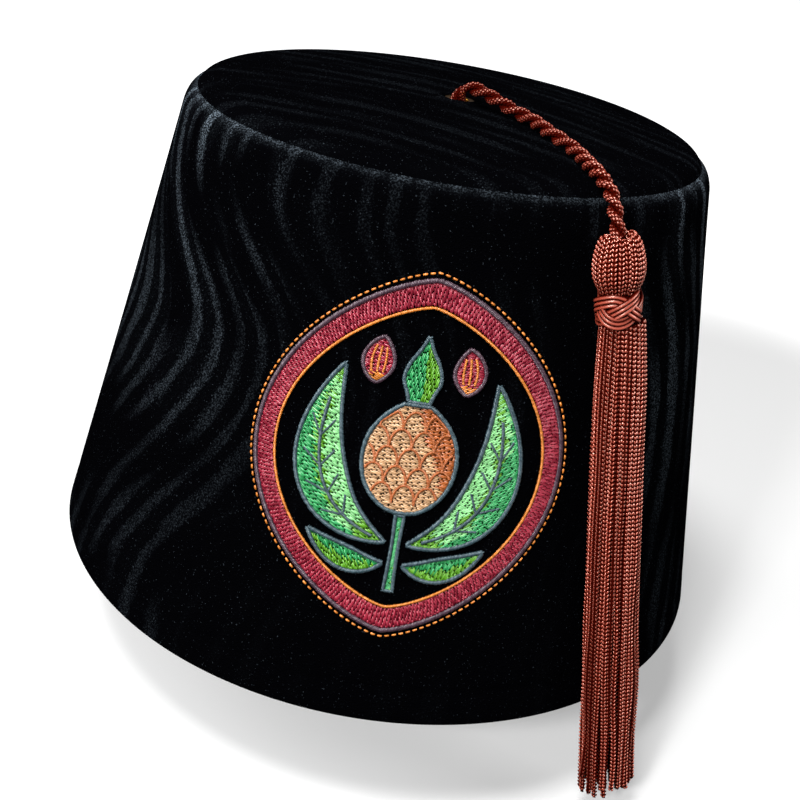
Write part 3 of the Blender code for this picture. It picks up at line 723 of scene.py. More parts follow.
class FEZ_OT_crown(Operator):
    """Make the velvet wall and tip, closed by the seam in the crown's rounded edge."""
    bl_idname = "fez.crown"
    bl_label = "Velvet Crown"

    def execute(self, context):
        sizes, colours = context.scene.fez_sizes, context.scene.fez_colours
        finishes = (velvet_material(colours), backing_material(colours))
        self.make_side(sizes, finishes)
        self.make_tip(sizes, finishes)
        return {"FINISHED"}

    def make_side(self, sizes, finishes):
        """The wall, with painted sheen on its crushed pile, most along the edge, and a painted
        highlight in its crease.
        """
        points, slant, to_rim, outer_rows = crown_side_arrays(sizes)
        rows = len(slant)
        faces, map_faces = grid_faces(rows, AROUND, True, True, flip=True)
        cloth = wall_map(np.append(slant, slant[-1]), 2 * pi * sizes.rim_radius * CLOTH_GIRTH)
        row_of_face = np.repeat(np.arange(rows), AROUND)
        inside = (row_of_face > outer_rows + TURNED_IN_ROWS) | (row_of_face == rows - 1)
        # Painted sheen of the crushed pile, and the painted highlight along the crease.
        crush = sheen_by_azimuth(points[..., 0], points[..., 1])
        crush = crush * (np.clip(1.0 - SHEEN_FALL * slant / to_rim, LEAST_SHEEN, 1)
                         + CREASE_SHEEN * bell(slant, CREASE_REACH))[:, None]
        ragged = np.random.default_rng(EDGE_SHEEN_SEED).uniform(*RAGGED, AROUND)
        rub = EDGE_SHEEN * bell(slant, EDGE_SHEEN_REACH)[:, None] * ragged * np.clip(EDGE_SHEEN_START + crush, 0, 1)
        make_piece("crown_side_velvet", points.reshape(-1, 3), [faces], finishes,
                   ("crown_side",), uv=[cloth[map_faces]],
                   face_materials=inside.astype(int),
                   point_values={"crush": crush.ravel(), "rub": rub.ravel()})

    def make_tip(self, sizes, finishes):
        """The tip as a closed shell of rings: rings near the eyelet share its middle.

        A ring's middle moves from the eyelet's to the hat's as its radius grows. Its height
        is a shallow parabola over the flat and then follows the rounded edge.
        """
        edge = edge_centre(sizes)
        flat = np.concatenate([np.linspace(TIP_HOLE, COLLAR_EDGE, COLLAR_ROWS),
                               np.linspace(COLLAR_EDGE, edge[0], FLAT_ROWS)[1:]])
        last = SEAM_ANGLE + degrees(SEAM_GAP / (sizes.edge_radius - sizes.wall))
        upper = arc_points(edge, sizes.edge_radius, 90, last, TIP_EDGE_ROWS)[1:]
        under = arc_points(edge, sizes.edge_radius - sizes.wall, last, 90, TIP_INNER_ROWS)[:-1]
        rise = sizes.crown_dome * (1 - (flat / edge[0]) ** 2)
        top = np.column_stack([flat, sizes.crown_height + rise])
        low = top[::-3] - (0, sizes.wall)
        profile = np.vstack([top, upper, under, low, [(TIP_HOLE, low[-1, 1])]])
        rows = len(profile)
        upper_rows = len(top) + len(upper)
        points = turned_grid(profile, pi / 2 + full_turn(AROUND))
        shift = np.clip(1 - (profile[:, 0] - TIP_HOLE) / (edge[0] * TIP_CENTRING), 0, 1)
        points[..., :2] += shift[:, None, None] * np.array(EYELET_PLACE)
        slant = distances(profile)
        sunk = (SEAM_DEPTH * bell(slant[upper_rows - 1] - slant, SEAM_REACH)
                - COLLAR_RISE * bell(profile[:, 0] - COLLAR_RADIUS, COLLAR_REACH))
        points[..., 2] -= np.where(np.arange(rows) < upper_rows, sunk, 0)[:, None]
        faces = grid_faces(rows, AROUND, True, True, flip=True)[0]
        # The tip's streaks run from its left to its right and bow towards its front.
        flat_x, flat_y = points.reshape(-1, 3)[faces][..., :2].transpose(2, 0, 1)
        corner_places = np.stack([flat_y + TIP_SLOPE * flat_x + TIP_BOW * flat_x ** 2,
                                  flat_x], axis=-1)
        inside = np.repeat(np.arange(rows), AROUND) >= upper_rows
        make_piece("crown_top_velvet", points.reshape(-1, 3), [faces], finishes,
                   ("crown_top",), uv=[corner_places],
                   face_materials=inside.astype(int),
                   point_values={"crush": np.full(rows * AROUND, TIP_SHEEN),
                                 "rub": np.zeros(rows * AROUND)})


# ------------------ stitches

STITCH_SHARES = np.array((0.10, 0.50, 0.90))
STITCH_SWELL = np.array((0.82, 1.0, 0.82))
STITCH_BOW = np.array((0.72, 1.0, 0.72))
STITCH_SIDES = 6
THREAD_FLATNESS = 0.62  # a laid thread's height, as a share of its width
STITCH_DIVE = 0.00012   # its ends go this far into the cloth
STITCH_HIGHLIGHT = 0.40      # painted highlight and shade: how much lighter a thread is on top than in the gaps
SATIN_ACROSS = 0.94     # a satin stitch runs across its line and a little along it
SATIN_ALONG = 0.62
SATIN_SPACING = 0.00036
SATIN_UNEVEN = 0.30
FILL_SPACING = 0.00038  # between the rows of a fill
FILL_LENGTH = 0.0024    # of its stitches
FILL_UNEVEN = 0.55      # how much their ends vary, as a share of their length
FILL_SHORTEST = 0.3     # none is shorter than this share
FILL_BASE = 0.00012     # their height over the cloth, and how much that varies
FILL_LOOSE = 0.00005
FILL_ARCH = 0.00014
FILL_TONE = 0.16
FILL_SPREAD = 0.7       # how far the tones of single stitches spread
ROW_WANDER = 0.30       # how far a stitch's end strays from its row, in spacings
ROW_STAGGER = 0.382     # each row's breaks move on by this share of a stitch


def stitch_arrays(sizes, starts, ends, width, base, arch):
    """Threads laid on the wall from start to end, each a flattened spindle.

    A ring's point is start + share * run, moved across the run by cos(a) * half width and off
    the wall by base + arch * bow + sin(a) * half height; the bow is 1 in mid-stitch, less
    near its ends. starts and ends are flat places, and the poles dive into the cloth. The
    third value returned is each point's height on its own thread, from -1 to 1.
    """
    run = ends - starts
    ahead = unit(run)
    left = leftward(ahead)
    count = len(starts)
    turn = full_turn(STITCH_SIDES) + pi / STITCH_SIDES
    flat = starts[:, None, None] + run[:, None, None] * STITCH_SHARES[:, None, None]
    reach = (width / 2)[:, None, None] * STITCH_SWELL[:, None] * np.cos(turn)
    flat = flat + left[:, None, None] * reach[..., None]
    lift = (base[:, None, None] + arch[:, None, None] * STITCH_BOW[:, None]
            + (width / 2 * THREAD_FLATNESS)[:, None, None] * STITCH_SWELL[:, None]
            * np.sin(turn))
    ring_points = on_wall(sizes, flat, lift).reshape(count, -1, 3)
    poles = np.stack([starts, ends], axis=1)
    pole_points = on_wall(sizes, poles, np.full((count, 2), -STITCH_DIVE))
    points = np.concatenate([ring_points, pole_points], axis=1)
    shape = spindle_faces(len(STITCH_SHARES), STITCH_SIDES)
    height = np.append(np.tile(np.sin(turn), len(STITCH_SHARES)), (-1.0, -1.0))
    return points.reshape(-1, 3), repeated(shape, count, points.shape[1]), np.tile(height, count)


class Needlework:
    """Stitches of one piece, kept until they are made into its mesh."""

    def __init__(self, sizes, seed):
        self.sizes = sizes
        self.draw = np.random.default_rng(seed)
        self.runs = []

    def uneven(self, *shape):
        """Random numbers between -0.5 and 0.5."""
        return self.draw.random(shape) - 0.5

    def lay(self, starts, ends, width, base, arch, thread, tone=0.12, spread=0.6):
        """Add stitches; thread is the index of their material, one or one for each."""
        count = len(starts)
        tones = tone + spread * self.uneven(count)
        one_each = (np.broadcast_to(value, count) for value in (width, base, arch, thread))
        self.runs.append((starts, ends, *one_each, tones))

    def finish(self, name, materials, slot, nodes):
        """Make the piece of all the stitches that were laid."""
        starts, ends, width, base, arch, thread, tones = (
            np.concatenate(column) for column in zip(*self.runs))
        points, faces, height = stitch_arrays(self.sizes, starts, ends, width, base, arch)
        block = len(points) // len(starts)
        index = np.concatenate([np.repeat(thread, len(array) // len(starts))
                                for array in faces])
        # Each point's tone: the stitch's own tone, with a painted highlight on its top and
        # painted shade underneath.
        return make_piece(name, points, faces, materials, nodes,
                          tone=np.repeat(tones, block) + STITCH_HIGHLIGHT * height,
                          face_materials=index)


def along_line(line, spacing, closed=False):
    """Evenly spaced places on a line, and the directions to its left and ahead there."""
    line = np.asarray(line)
    if closed:
        line = np.vstack([line, line[:1]])
    steps = distances(line)
    count = max(3, round(steps[-1] / spacing))
    even = np.linspace(0, steps[-1], count, endpoint=not closed)
    before, place, after = (read_off(even + shift, steps, line)
                            for shift in (-spacing / 2, 0.0, spacing / 2))
    ahead = unit(after - before)
    return place, leftward(ahead), ahead


# Width of a satin cord, height of its stitches over the cloth, and their rise in the middle.
Satin = namedtuple("Satin", "width base arch")


def outline_stitch(work, line, satin, thread, closed=True):
    """A satin cord along a line: stitches across it, a little on the slant, rounded."""
    place, left, ahead = along_line(line, SATIN_SPACING, closed)
    jitter = 1 + SATIN_UNEVEN * work.uneven(len(place), 1)
    across = (left * SATIN_ACROSS + ahead * SATIN_ALONG) * satin.width / 2 * jitter
    work.lay(place - across, place + across, work.sizes.thread_width, satin.base, satin.arch,
             thread)


def fill_stitch(work, outline, angle, choose_thread):
    """Rows of short stitches across an outline, each row staggered against the last.

    Rows lie at an angle in degrees and stop at the outline. choose_thread is given the
    stitches' middles and says which thread each takes.
    """
    turn = radians(angle)
    rotate = np.array(((cos(turn), -sin(turn)), (sin(turn), cos(turn))))
    flat = outline @ rotate
    after = np.roll(flat, -1, axis=0)
    levels = np.arange(flat[:, 1].min() + FILL_SPACING / 2, flat[:, 1].max(), FILL_SPACING)
    least = FILL_LENGTH * FILL_SHORTEST
    starts, ends = [], []
    for row, level in enumerate(levels):
        crossed = (flat[:, 1] > level) != (after[:, 1] > level)
        here, there = flat[crossed], after[crossed]
        places = np.sort(here[:, 0] + (level - here[:, 1]) / (there[:, 1] - here[:, 1])
                         * (there[:, 0] - here[:, 0]))
        for low, high in zip(places[::2], places[1::2]):
            if high - low < FILL_SPACING:
                continue
            stagger = (row * ROW_STAGGER) % 1 * FILL_LENGTH
            inner = np.arange(np.floor(low / FILL_LENGTH) * FILL_LENGTH + stagger, high,
                              FILL_LENGTH)
            inner = inner + FILL_LENGTH * FILL_UNEVEN * work.uneven(len(inner))
            inner = inner[(inner > low + least) & (inner < high - least)]
            breaks = np.concatenate([[low], inner, [high]])
            rows = level + FILL_SPACING * ROW_WANDER * work.uneven(len(breaks))
            line = np.column_stack([breaks, rows])
            starts.append(line[:-1])
            ends.append(line[1:])
    starts = np.vstack(starts) @ rotate.T
    ends = np.vstack(ends) @ rotate.T
    thread = choose_thread((starts + ends) / 2)
    lift = FILL_BASE + FILL_LOOSE * work.draw.random(len(starts))
    work.lay(starts, ends, work.sizes.thread_width, lift, FILL_ARCH, thread, FILL_TONE,
             FILL_SPREAD)


# ------------------ medallion

FILL_INSET = 0.0003  # fills stop this far inside an outline
EDGE_INSET = 0.0002  # and the satin that covers their ends lies this far inside
LEAST_HALF_WIDTH = 0.00005
LEAF_EDGE = Satin(0.00115, 0.00018, 0.00052)
BUD_EDGE = Satin(0.0010, 0.00018, 0.00048)
CALYX_EDGE = Satin(0.0010, 0.00018, 0.00046)
MIDRIB = Satin(0.0009, 0.00022, 0.00040)
VEIN = Satin(0.0006, 0.00022, 0.00030)
SCALE_EDGE = Satin(0.0007, 0.00026, 0.00034)
BAND_OUTER_EDGE = Satin(0.0013, 0.00022, 0.00042)
BAND_INNER_EDGE = Satin(0.0007, 0.00020, 0.00030)
BORDER_SEED, LEAF_SEED, BUD_SEED, FRUIT_SEED, CALYX_SEED, STEM_SEED = 11, 20, 40, 60, 61, 62


def medallion_outline(sizes, inset, turn):
    """A pointed oval: sine to a power across and cosine up, inset towards its middle."""
    across = np.sign(np.sin(turn)) * np.abs(np.sin(turn)) ** MEDALLION_POINT
    return np.column_stack([(sizes.medallion_half_width - inset) * across,
                            (sizes.medallion_half_height - inset * POINT_INSET)
                            * np.cos(turn)])


RING_STEP = 0.0006      # between the points of a line round the border
BAND_SPACING = 0.00034  # between the stitch rows of its band
BAND_EDGES = (0.0009, 0.0006)  # its rows start and stop this far inside its two edges
BAND_SLANT = 0.0012        # a row's inner end lies this far round from its outer end
BAND_BREAKS = 4
BAND_STITCH = 2.3          # the band is this many stitches wide
BREAK_WANDER = 0.16        # how far a break strays, as a share of the band's width
BREAK_LEAST = 0.06         # no stitch is laid that is shorter than this share
BAND_THREAD = 0.95         # thickness of its thread, as a share of the other threads'
BAND_LIFT = (0.00018, 0.00014)  # height over the cloth, and rise in mid-stitch
BAND_TONE = 0.02
BAND_SPREAD = 0.9          # how far the tones of its stitches spread
OUTER_CORD_INSET = 0.0006  # the satin cords lie this far inside the band's two edges
INNER_CORD_INSET = 0.0003
DASH = 0.00125             # running stitches outside the band, and the gaps between them
DASH_GAP = 0.00045
DASH_OFFSET = 0.0007
DASH_THREAD = 1.35
DASH_LIFT = (0.00006, 0.00026)


class FEZ_OT_border(Operator):
    """Stitch the medallion's border: a maroon band, its plum and orange edges and dashes."""
    bl_idname = "fez.border"
    bl_label = "Medallion Border"

    def execute(self, context):
        sizes, colours = context.scene.fez_sizes, context.scene.fez_colours
        work = Needlework(sizes, BORDER_SEED)
        band = sizes.medallion_band
        dense = np.linspace(0, 2 * pi, 1441)
        steps = distances(medallion_outline(sizes, band / 2, dense))

        def ring(inset, spacing, shift=0.0):
            """Places round the medallion, even along the middle of its band."""
            count = round(steps[-1] / spacing)
            even = (np.linspace(0, steps[-1], count, endpoint=False) + shift) % steps[-1]
            return medallion_outline(sizes, inset, np.interp(even, steps, dense))

        # The maroon band in rows across it, a little on the slant, of stitches that break at
        # another place in each row.
        outer = ring(BAND_EDGES[0], BAND_SPACING)
        inner = ring(band - BAND_EDGES[1], BAND_SPACING, BAND_SLANT)
        rows = np.arange(len(outer))[:, None]
        breaks = (np.arange(BAND_BREAKS) - rows * ROW_STAGGER % 1) / BAND_STITCH
        breaks = np.clip(breaks + BREAK_WANDER * work.uneven(*breaks.shape), 0, 1)
        for first, last in zip(breaks.T[:-1, :, None], breaks.T[1:, :, None]):
            long = (last - first)[:, 0] > BREAK_LEAST
            work.lay((outer + (inner - outer) * first)[long],
                     (outer + (inner - outer) * last)[long],
                     sizes.thread_width * BAND_THREAD, *BAND_LIFT, 0, BAND_TONE, BAND_SPREAD)
        outline_stitch(work, ring(OUTER_CORD_INSET, RING_STEP), BAND_OUTER_EDGE, 1)
        outline_stitch(work, ring(band - INNER_CORD_INSET, RING_STEP), BAND_INNER_EDGE, 2)
        place, _, ahead = along_line(ring(-DASH_OFFSET, RING_STEP), DASH + DASH_GAP,
                                     closed=True)
        work.lay(place - ahead * DASH / 2, place + ahead * DASH / 2,
                 sizes.thread_width * DASH_THREAD, *DASH_LIFT, 2)
        work.finish("badge_border_stitches",
                    embroidery_materials(colours, "maroon", "plum", "orange"),
                    "maroon_stitch", ("badge_border",))
        return {"FINISHED"}


LEAF_ROWS = 60       # places along a leaf's rib
LEAF_FOOT = 0.00025  # half the width of a leaf at its ends
LEAF_TURN = 4        # degrees by which the fills of both sides are turned as well
RIB_ROWS = slice(4, LEAF_ROWS - 8)  # the part of the rib that is stitched
VEIN_STARTS = range(14, LEAF_ROWS - 14, 9)
VEIN_RUN = 5       # a vein ends this many places on along the rib
VEIN_REACH = 0.62  # and at this share of the half width
# Shading of a leaf, in shares of its half width, and of its length along the rib.
SHADE_RAGGED = 0.18  # how ragged the border between two shades is
SHADE_START = 0.28   # the shaded side starts here, beyond the midrib
SHADE_WAVE = 0.3
SHADE_TURNS = 9
DEEP_MIDDLE = -0.02  # the deepest shade lies along the midrib and at the foot
DEEP_SHARE = 0.14
BUD_CUP = 0.22       # the orange cup covers this share of a bud
BUD_SEAMS = slice(16, 48)
BUD_SEAM_REACH = 0.42


def leaf_shape(shape, side):
    """A leaf's rib, the directions across it and its half widths, in metres.

    The rib is a quadratic curve from base to tip pulled towards the bend, and the half width
    is a sine of the way along to a power.
    """
    share = np.linspace(0, 1, LEAF_ROWS)[:, None]
    base, bend, tip = (np.array(place) * (side, 1) * MM
                       for place in (shape.base, shape.bend, shape.tip))
    rib = (1 - share) ** 2 * base + 2 * share * (1 - share) * bend + share ** 2 * tip
    across = leftward(unit(np.gradient(rib, axis=0)))
    reach = shape.half_width * MM * np.sin(pi * share) ** shape.fullness + LEAF_FOOT
    return rib, across, reach


def ribbed(rib, across, reach, inset=0.0):
    """The outline of a leaf from its rib, drawn in by an inset."""
    reach = np.maximum(reach - inset, LEAST_HALF_WIDTH)
    return np.vstack([rib + across * reach, (rib - across * reach)[::-1]])


def beside_rib(rib, across, reach, places):
    """Where places lie against a rib: share of the way along, and share across, signed."""
    gap = places[:, None] - rib[None]
    nearest = np.argmin(np.sum(gap ** 2, axis=-1), axis=1)
    off = np.sum(gap[np.arange(len(places)), nearest] * across[nearest], axis=-1)
    return nearest / (len(rib) - 1), off / reach[nearest, 0]


class FEZ_OT_leaves(Operator):
    """Stitch the medallion's leaves, low leaves and buds, each with its outline."""
    bl_idname = "fez.leaves"
    bl_label = "Medallion Leaves"

    def execute(self, context):
        sizes, colours = context.scene.fez_sizes, context.scene.fez_colours
        for side, word in ((1, "right"), (-1, "left")):
            self.stitch_leaf(sizes, colours, LEAF, side, word, "light_green_stitch")
            self.stitch_leaf(sizes, colours, LOW_LEAF, side, word, "green_stitch")
            self.stitch_bud(sizes, colours, side, word)
        return {"FINISHED"}

    def stitch_leaf(self, sizes, colours, shape, side, word, slot):
        """A leaf: its fill, shaded on one side, and its edge, and a wide one's veins."""
        work = Needlework(sizes, LEAF_SEED + side + len(shape.name))
        rib, across, reach = leaf_shape(shape, side)
        wide = shape is LEAF

        def choose(places):
            """0, 1 or 2: the full, the shaded or the deepest green."""
            along, off = beside_rib(rib, across, reach, places)
            off = off * side + SHADE_RAGGED * work.uneven(len(places))
            if not wide:
                return np.where(off < 0, 2, 1)
            shaded = off < -SHADE_START - SHADE_WAVE * np.sin(along * SHADE_TURNS)
            deep = (np.abs(off - DEEP_MIDDLE) < DEEP_SHARE) | (along < DEEP_SHARE)
            return np.where(deep, 2, np.where(shaded, 1, 0))

        fill_stitch(work, ribbed(rib, across, reach, FILL_INSET), shape.lean * side + LEAF_TURN,
                    choose)
        outline_stitch(work, ribbed(rib, across, reach, EDGE_INSET), LEAF_EDGE, 3)
        if wide:
            outline_stitch(work, rib[RIB_ROWS], MIDRIB, 3, closed=False)
            for start in VEIN_STARTS:
                tip = start + VEIN_RUN
                for way in (-1, 1):
                    end = rib[tip] + across[tip] * reach[tip] * VEIN_REACH * way
                    outline_stitch(work, (rib[start], end), VEIN, 3, closed=False)
        work.finish(f"{shape.name}_{word}_stitches",
                    embroidery_materials(colours, "light_green", "green", "olive", "slate"),
                    slot, (f"{shape.name}_{word}",))

    def stitch_bud(self, sizes, colours, side, word):
        """A bud: maroon with an orange cup and three orange seams."""
        work = Needlework(sizes, BUD_SEED + side)
        rib, across, reach = leaf_shape(BUD, side)

        def choose(places):
            """0 or 1: the maroon of the bud or the orange of its cup."""
            return np.where(beside_rib(rib, across, reach, places)[0] < BUD_CUP, 1, 0)

        fill_stitch(work, ribbed(rib, across, reach, FILL_INSET), BUD.lean * side, choose)
        outline_stitch(work, ribbed(rib, across, reach, EDGE_INSET), BUD_EDGE, 2)
        for way in (-1, 0, 1):
            seam = rib + across * reach * BUD_SEAM_REACH * way
            outline_stitch(work, seam[BUD_SEAMS], VEIN, 1, closed=False)
        work.finish(f"{BUD.name}_{word}_stitches",
                    embroidery_materials(colours, "maroon", "orange", "plum"),
                    "maroon_stitch", (f"{BUD.name}_{word}",))


def upright_outline(sections, count=24, inset=0.0):
    """The outline of a motif on the middle line, smooth through its rows of half widths."""
    rows = smooth_route([(height * MM, half_width * MM) for height, half_width in sections],
                        count)
    right = np.column_stack([np.maximum(rows[:, 1] - inset, LEAST_HALF_WIDTH), rows[:, 0]])
    return np.vstack([right, (right * (-1, 1))[::-1]])


FRUIT_ROWS = 36
FRUIT_LEAN = -14      # degrees by which the rows of its fill lean
FRUIT_SHADE = 0.0058  # its shaded side starts here at mid-height, and slants by this share
SHADE_SLANT = 0.4
SCALE_WIDTH = 0.0052
SCALE_HEIGHT = 0.0044
SCALE_LEVELS = (-0.0100, 0.0092)
SCALE_ARC = np.linspace(0, pi, 14)
SCALE_CLEAR = 0.0007  # scales stop this far inside the fruit's edge
SCALE_LEAST = 4       # points of a scale that must be inside for it to be stitched
GREEN_SHADE = 0.0004  # calyx and stem are shaded from here to the right


class FEZ_OT_fruit(Operator):
    """Stitch the medallion's fruit with its scales, its calyx and its stem."""
    bl_idname = "fez.fruit"
    bl_label = "Medallion Fruit"

    def execute(self, context):
        sizes, colours = context.scene.fez_sizes, context.scene.fez_colours
        self.stitch_fruit(sizes, colours)
        for name, sections, lean, seed in (("badge_calyx", CALYX_SECTIONS, 80, CALYX_SEED),
                                           ("badge_stem", STEM_SECTIONS, 35, STEM_SEED)):
            work = Needlework(sizes, seed)
            fill_stitch(work, upright_outline(sections, inset=FILL_INSET), lean,
                        lambda places: np.where(places[:, 0] > GREEN_SHADE, 1, 0))
            outline_stitch(work, upright_outline(sections, inset=EDGE_INSET), CALYX_EDGE, 2)
            work.finish(f"{name}_stitches",
                        embroidery_materials(colours, "green", "olive", "slate"),
                        "green_stitch", (name,))
        return {"FINISHED"}

    def stitch_fruit(self, sizes, colours):
        """The fruit: its fill, and rows of scales, each half a scale aside of the last."""
        work = Needlework(sizes, FRUIT_SEED)
        right = upright_outline(FRUIT_SECTIONS, FRUIT_ROWS)[:FRUIT_ROWS]
        fill_stitch(work, upright_outline(FRUIT_SECTIONS, FRUIT_ROWS, FILL_INSET), FRUIT_LEAN,
                    lambda places: np.where(
                        places[:, 0] + SHADE_SLANT * places[:, 1] > FRUIT_SHADE, 1, 0))
        for row, level in enumerate(np.arange(*SCALE_LEVELS, SCALE_HEIGHT)):
            for place in (np.arange(-3, 4) + row % 2 * 0.5) * SCALE_WIDTH:
                arc = np.column_stack([place + SCALE_WIDTH / 2 * np.cos(SCALE_ARC),
                                       level + SCALE_HEIGHT * np.sin(SCALE_ARC)])
                half = np.interp(arc[:, 1], right[:, 1], right[:, 0]) - SCALE_CLEAR
                arc = arc[np.abs(arc[:, 0]) < half]
                if len(arc) > SCALE_LEAST:
                    outline_stitch(work, arc, SCALE_EDGE, 2, closed=False)
        outline_stitch(work, upright_outline(FRUIT_SECTIONS, FRUIT_ROWS, EDGE_INSET),
                       LEAF_EDGE, 3)
        work.finish("badge_fruit_stitches",
                    embroidery_materials(colours, "tan", "brown", "brown", "slate"),
                    "tan_stitch", ("badge_fruit",))


HEM_PITCH = 0.0034
HEM_STITCH = 0.0027   # length of a stitch, and half the thickness of its thread
HEM_THREAD = 0.00021
HEM_BOW = np.array((-0.00025, 0.00004, 0.00010, 0.00010, 0.00004, -0.00025))
HEM_SIDES = 6
HEM_SEED = 5


class FEZ_OT_hem(Operator):
    """Sew the hem: black stitches in a shallow dent round the wall above the rim."""
    bl_idname = "fez.hem"
    bl_label = "Hem Stitches"

    def execute(self, context):
        """A stitch is a tube along an arc round the hat, whose radius bows at its ends."""
        sizes, colours = context.scene.fez_sizes, context.scene.fez_colours
        lean = wall_lean(sizes)
        radius = sizes.rim_radius - sin(lean) * sizes.hem_height - HEM_DENT
        height = cos(lean) * sizes.hem_height
        count = round(2 * pi * radius / HEM_PITCH)
        share = np.linspace(-1, 1, len(HEM_BOW))
        angle = full_turn(count)[:, None] + share * (HEM_STITCH / 2 / radius)
        out = level(angle)
        paths = out * (radius + HEM_BOW)[:, None] + (0.0, 0.0, height)
        points, faces, owner = tubes(paths, out, np.full(angle.shape, HEM_THREAD), HEM_SIDES)
        tone = np.random.default_rng(HEM_SEED).random(count)[owner]
        make_piece("hem_stitches", points, faces, embroidery_materials(colours, "black"),
                   tone=tone)
        return {"FINISHED"}


# ------------------ eyelet

# Radii of the eyelet's hole, of its barrel and of its flange.
BORE, BARREL, FLANGE = 0.0026, 0.0031, 0.0049
TURNED_SIDES = 64
# Radii of its rolls: the upper at bore and flange, and the lower at flange and bore.
UPPER_ROLLS = (0.0004, 0.0003)
LOWER_ROLLS = (0.00042, 0.0006)
ROLL_INSET = (0.0004, 0.0007)  # the flange's rolls are centred this far inside its radius
BARREL_GAP = 0.0001    # the barrel meets the flanges this far from their middles
EYELET_CLEAR = 0.0003  # from the tip's inside down to the lower flange


def brass_material(colours):
    """Pressed sheet brass, lacquered: bright, with faint scuffs about 1 mm across."""
    finish, tree, shader = new_material("rolled brass", {"Metallic": 1.0, "Roughness": 0.28})
    place = add_node(tree, "ShaderNodeTexCoord").outputs["Object"]
    scuff = add_node(tree, "ShaderNodeTexNoise", {
        "Vector": place, "Scale": 1 / SCUFF, "Detail": 4.0}).outputs["Fac"]
    add_node(tree, "ShaderNodeMix", {
        "Factor": scuff, "A": darker(colours.brass, 0.7), "B": colours.brass},
        shader.inputs["Base Color"], data_type="RGBA")
    return finish


class FEZ_OT_eyelet(Operator):
    """Turn the rolled brass eyelet that the cord comes out of."""
    bl_idname = "fez.eyelet"
    bl_label = "Brass Eyelet"

    def execute(self, context):
        """The closed profile runs over the upper flange, down the barrel, round the lower
        flange and up the bore, and is turned about the eyelet's middle."""
        sizes = context.scene.fez_sizes
        top = sizes.crown_height + sizes.crown_dome
        under = top - sizes.wall - EYELET_CLEAR
        profile = np.vstack([
            arc_points((BORE + UPPER_ROLLS[0], top), UPPER_ROLLS[0], 180, 90, 7),
            arc_points((FLANGE - ROLL_INSET[0], top), UPPER_ROLLS[1], 90, -10, 9),
            [(BARREL, top - BARREL_GAP), (BARREL, under + BARREL_GAP)],
            arc_points((FLANGE - ROLL_INSET[1], under), LOWER_ROLLS[0], 10, -90, 7),
            arc_points((BORE + LOWER_ROLLS[1], under), LOWER_ROLLS[1], 270, 180, 7),
        ])
        points = turned_grid(profile, full_turn(TURNED_SIDES))
        points[..., :2] += EYELET_PLACE
        faces = grid_faces(len(profile), TURNED_SIDES, True, True, flip=True)[0]
        make_piece("eyelet_brass", points.reshape(-1, 3), [faces],
                   (brass_material(context.scene.fez_colours),), ("eyelet",))
        return {"FINISHED"}


# ------------------ cord and stop knot

PLIES = 2
CORD_LAY = -1             # -1 for an S twist, 1 for a Z twist
CORD_STATIONS = 600
BESIDE_CORD = np.array((0.83, 0.55, 0.0))  # where its plies lie side by side
LOOSER = 0.22             # how much slower the cord is twisted where it lies on the tip
LOOSE_END = (0.60, 0.80)  # shares of its length over which the twist tightens again
LOOSEST = 0.17            # how much slower still it is twisted in its middle
LOOSEST_PLACE = 0.55
LOOSEST_REACH = 0.16
PLY_OFFSET = 0.25         # of the cord's diameter, from its middle to a ply's
YARNS = 9
YARN_OFFSET = 0.185       # of the cord's diameter, from a ply's middle to a yarn's
YARN_WIDTH = 0.128
YARN_SPIN = 0.45          # turns of a yarn about its ply for each turn of the ply
YARN_BEAD = 0.00090       # length of a stitch of the fine knitted yarn
YARN_SWELL = 0.42
YARN_PHASE = 2.4          # radians between the stitches of neighbouring yarns
YARN_SIDES = 6
START_BULK = 0.20         # how much thicker the cord is where it bends over the eyelet
BULK_REACH = 0.07
# painted shade: the tone of the dark core inside the plies
CORE_SHADE = -1.0
CORD_TONE = -0.88
TONE_RISE = 0.22          # how much lighter the cord is at its lower end
VALLEY_SHADE = 0.50        # painted shade: how much lighter a ply is outside than against the other ply
SWELL_HIGHLIGHT = 0.35          # painted highlight: how much lighter a yarn is where it swells, and on its top
YARN_TOP_HIGHLIGHT = 0.30
# The stop knot is a torus knot: it goes round twice while it winds through three times.
STOP_ROUND, STOP_THROUGH = 2, 3
STOP_STATIONS = 170
STOP_OPEN = 0.02       # share of the knot that is left open at each end
STOP_RADIUS = 0.00185
STOP_SWING = 0.00085
STOP_DROP = 0.0027     # its middle is this far under the cord's start
STOP_THICKNESS = 0.62  # the knot is pulled tight: these shares of the cord's own
STOP_PITCH = 0.6


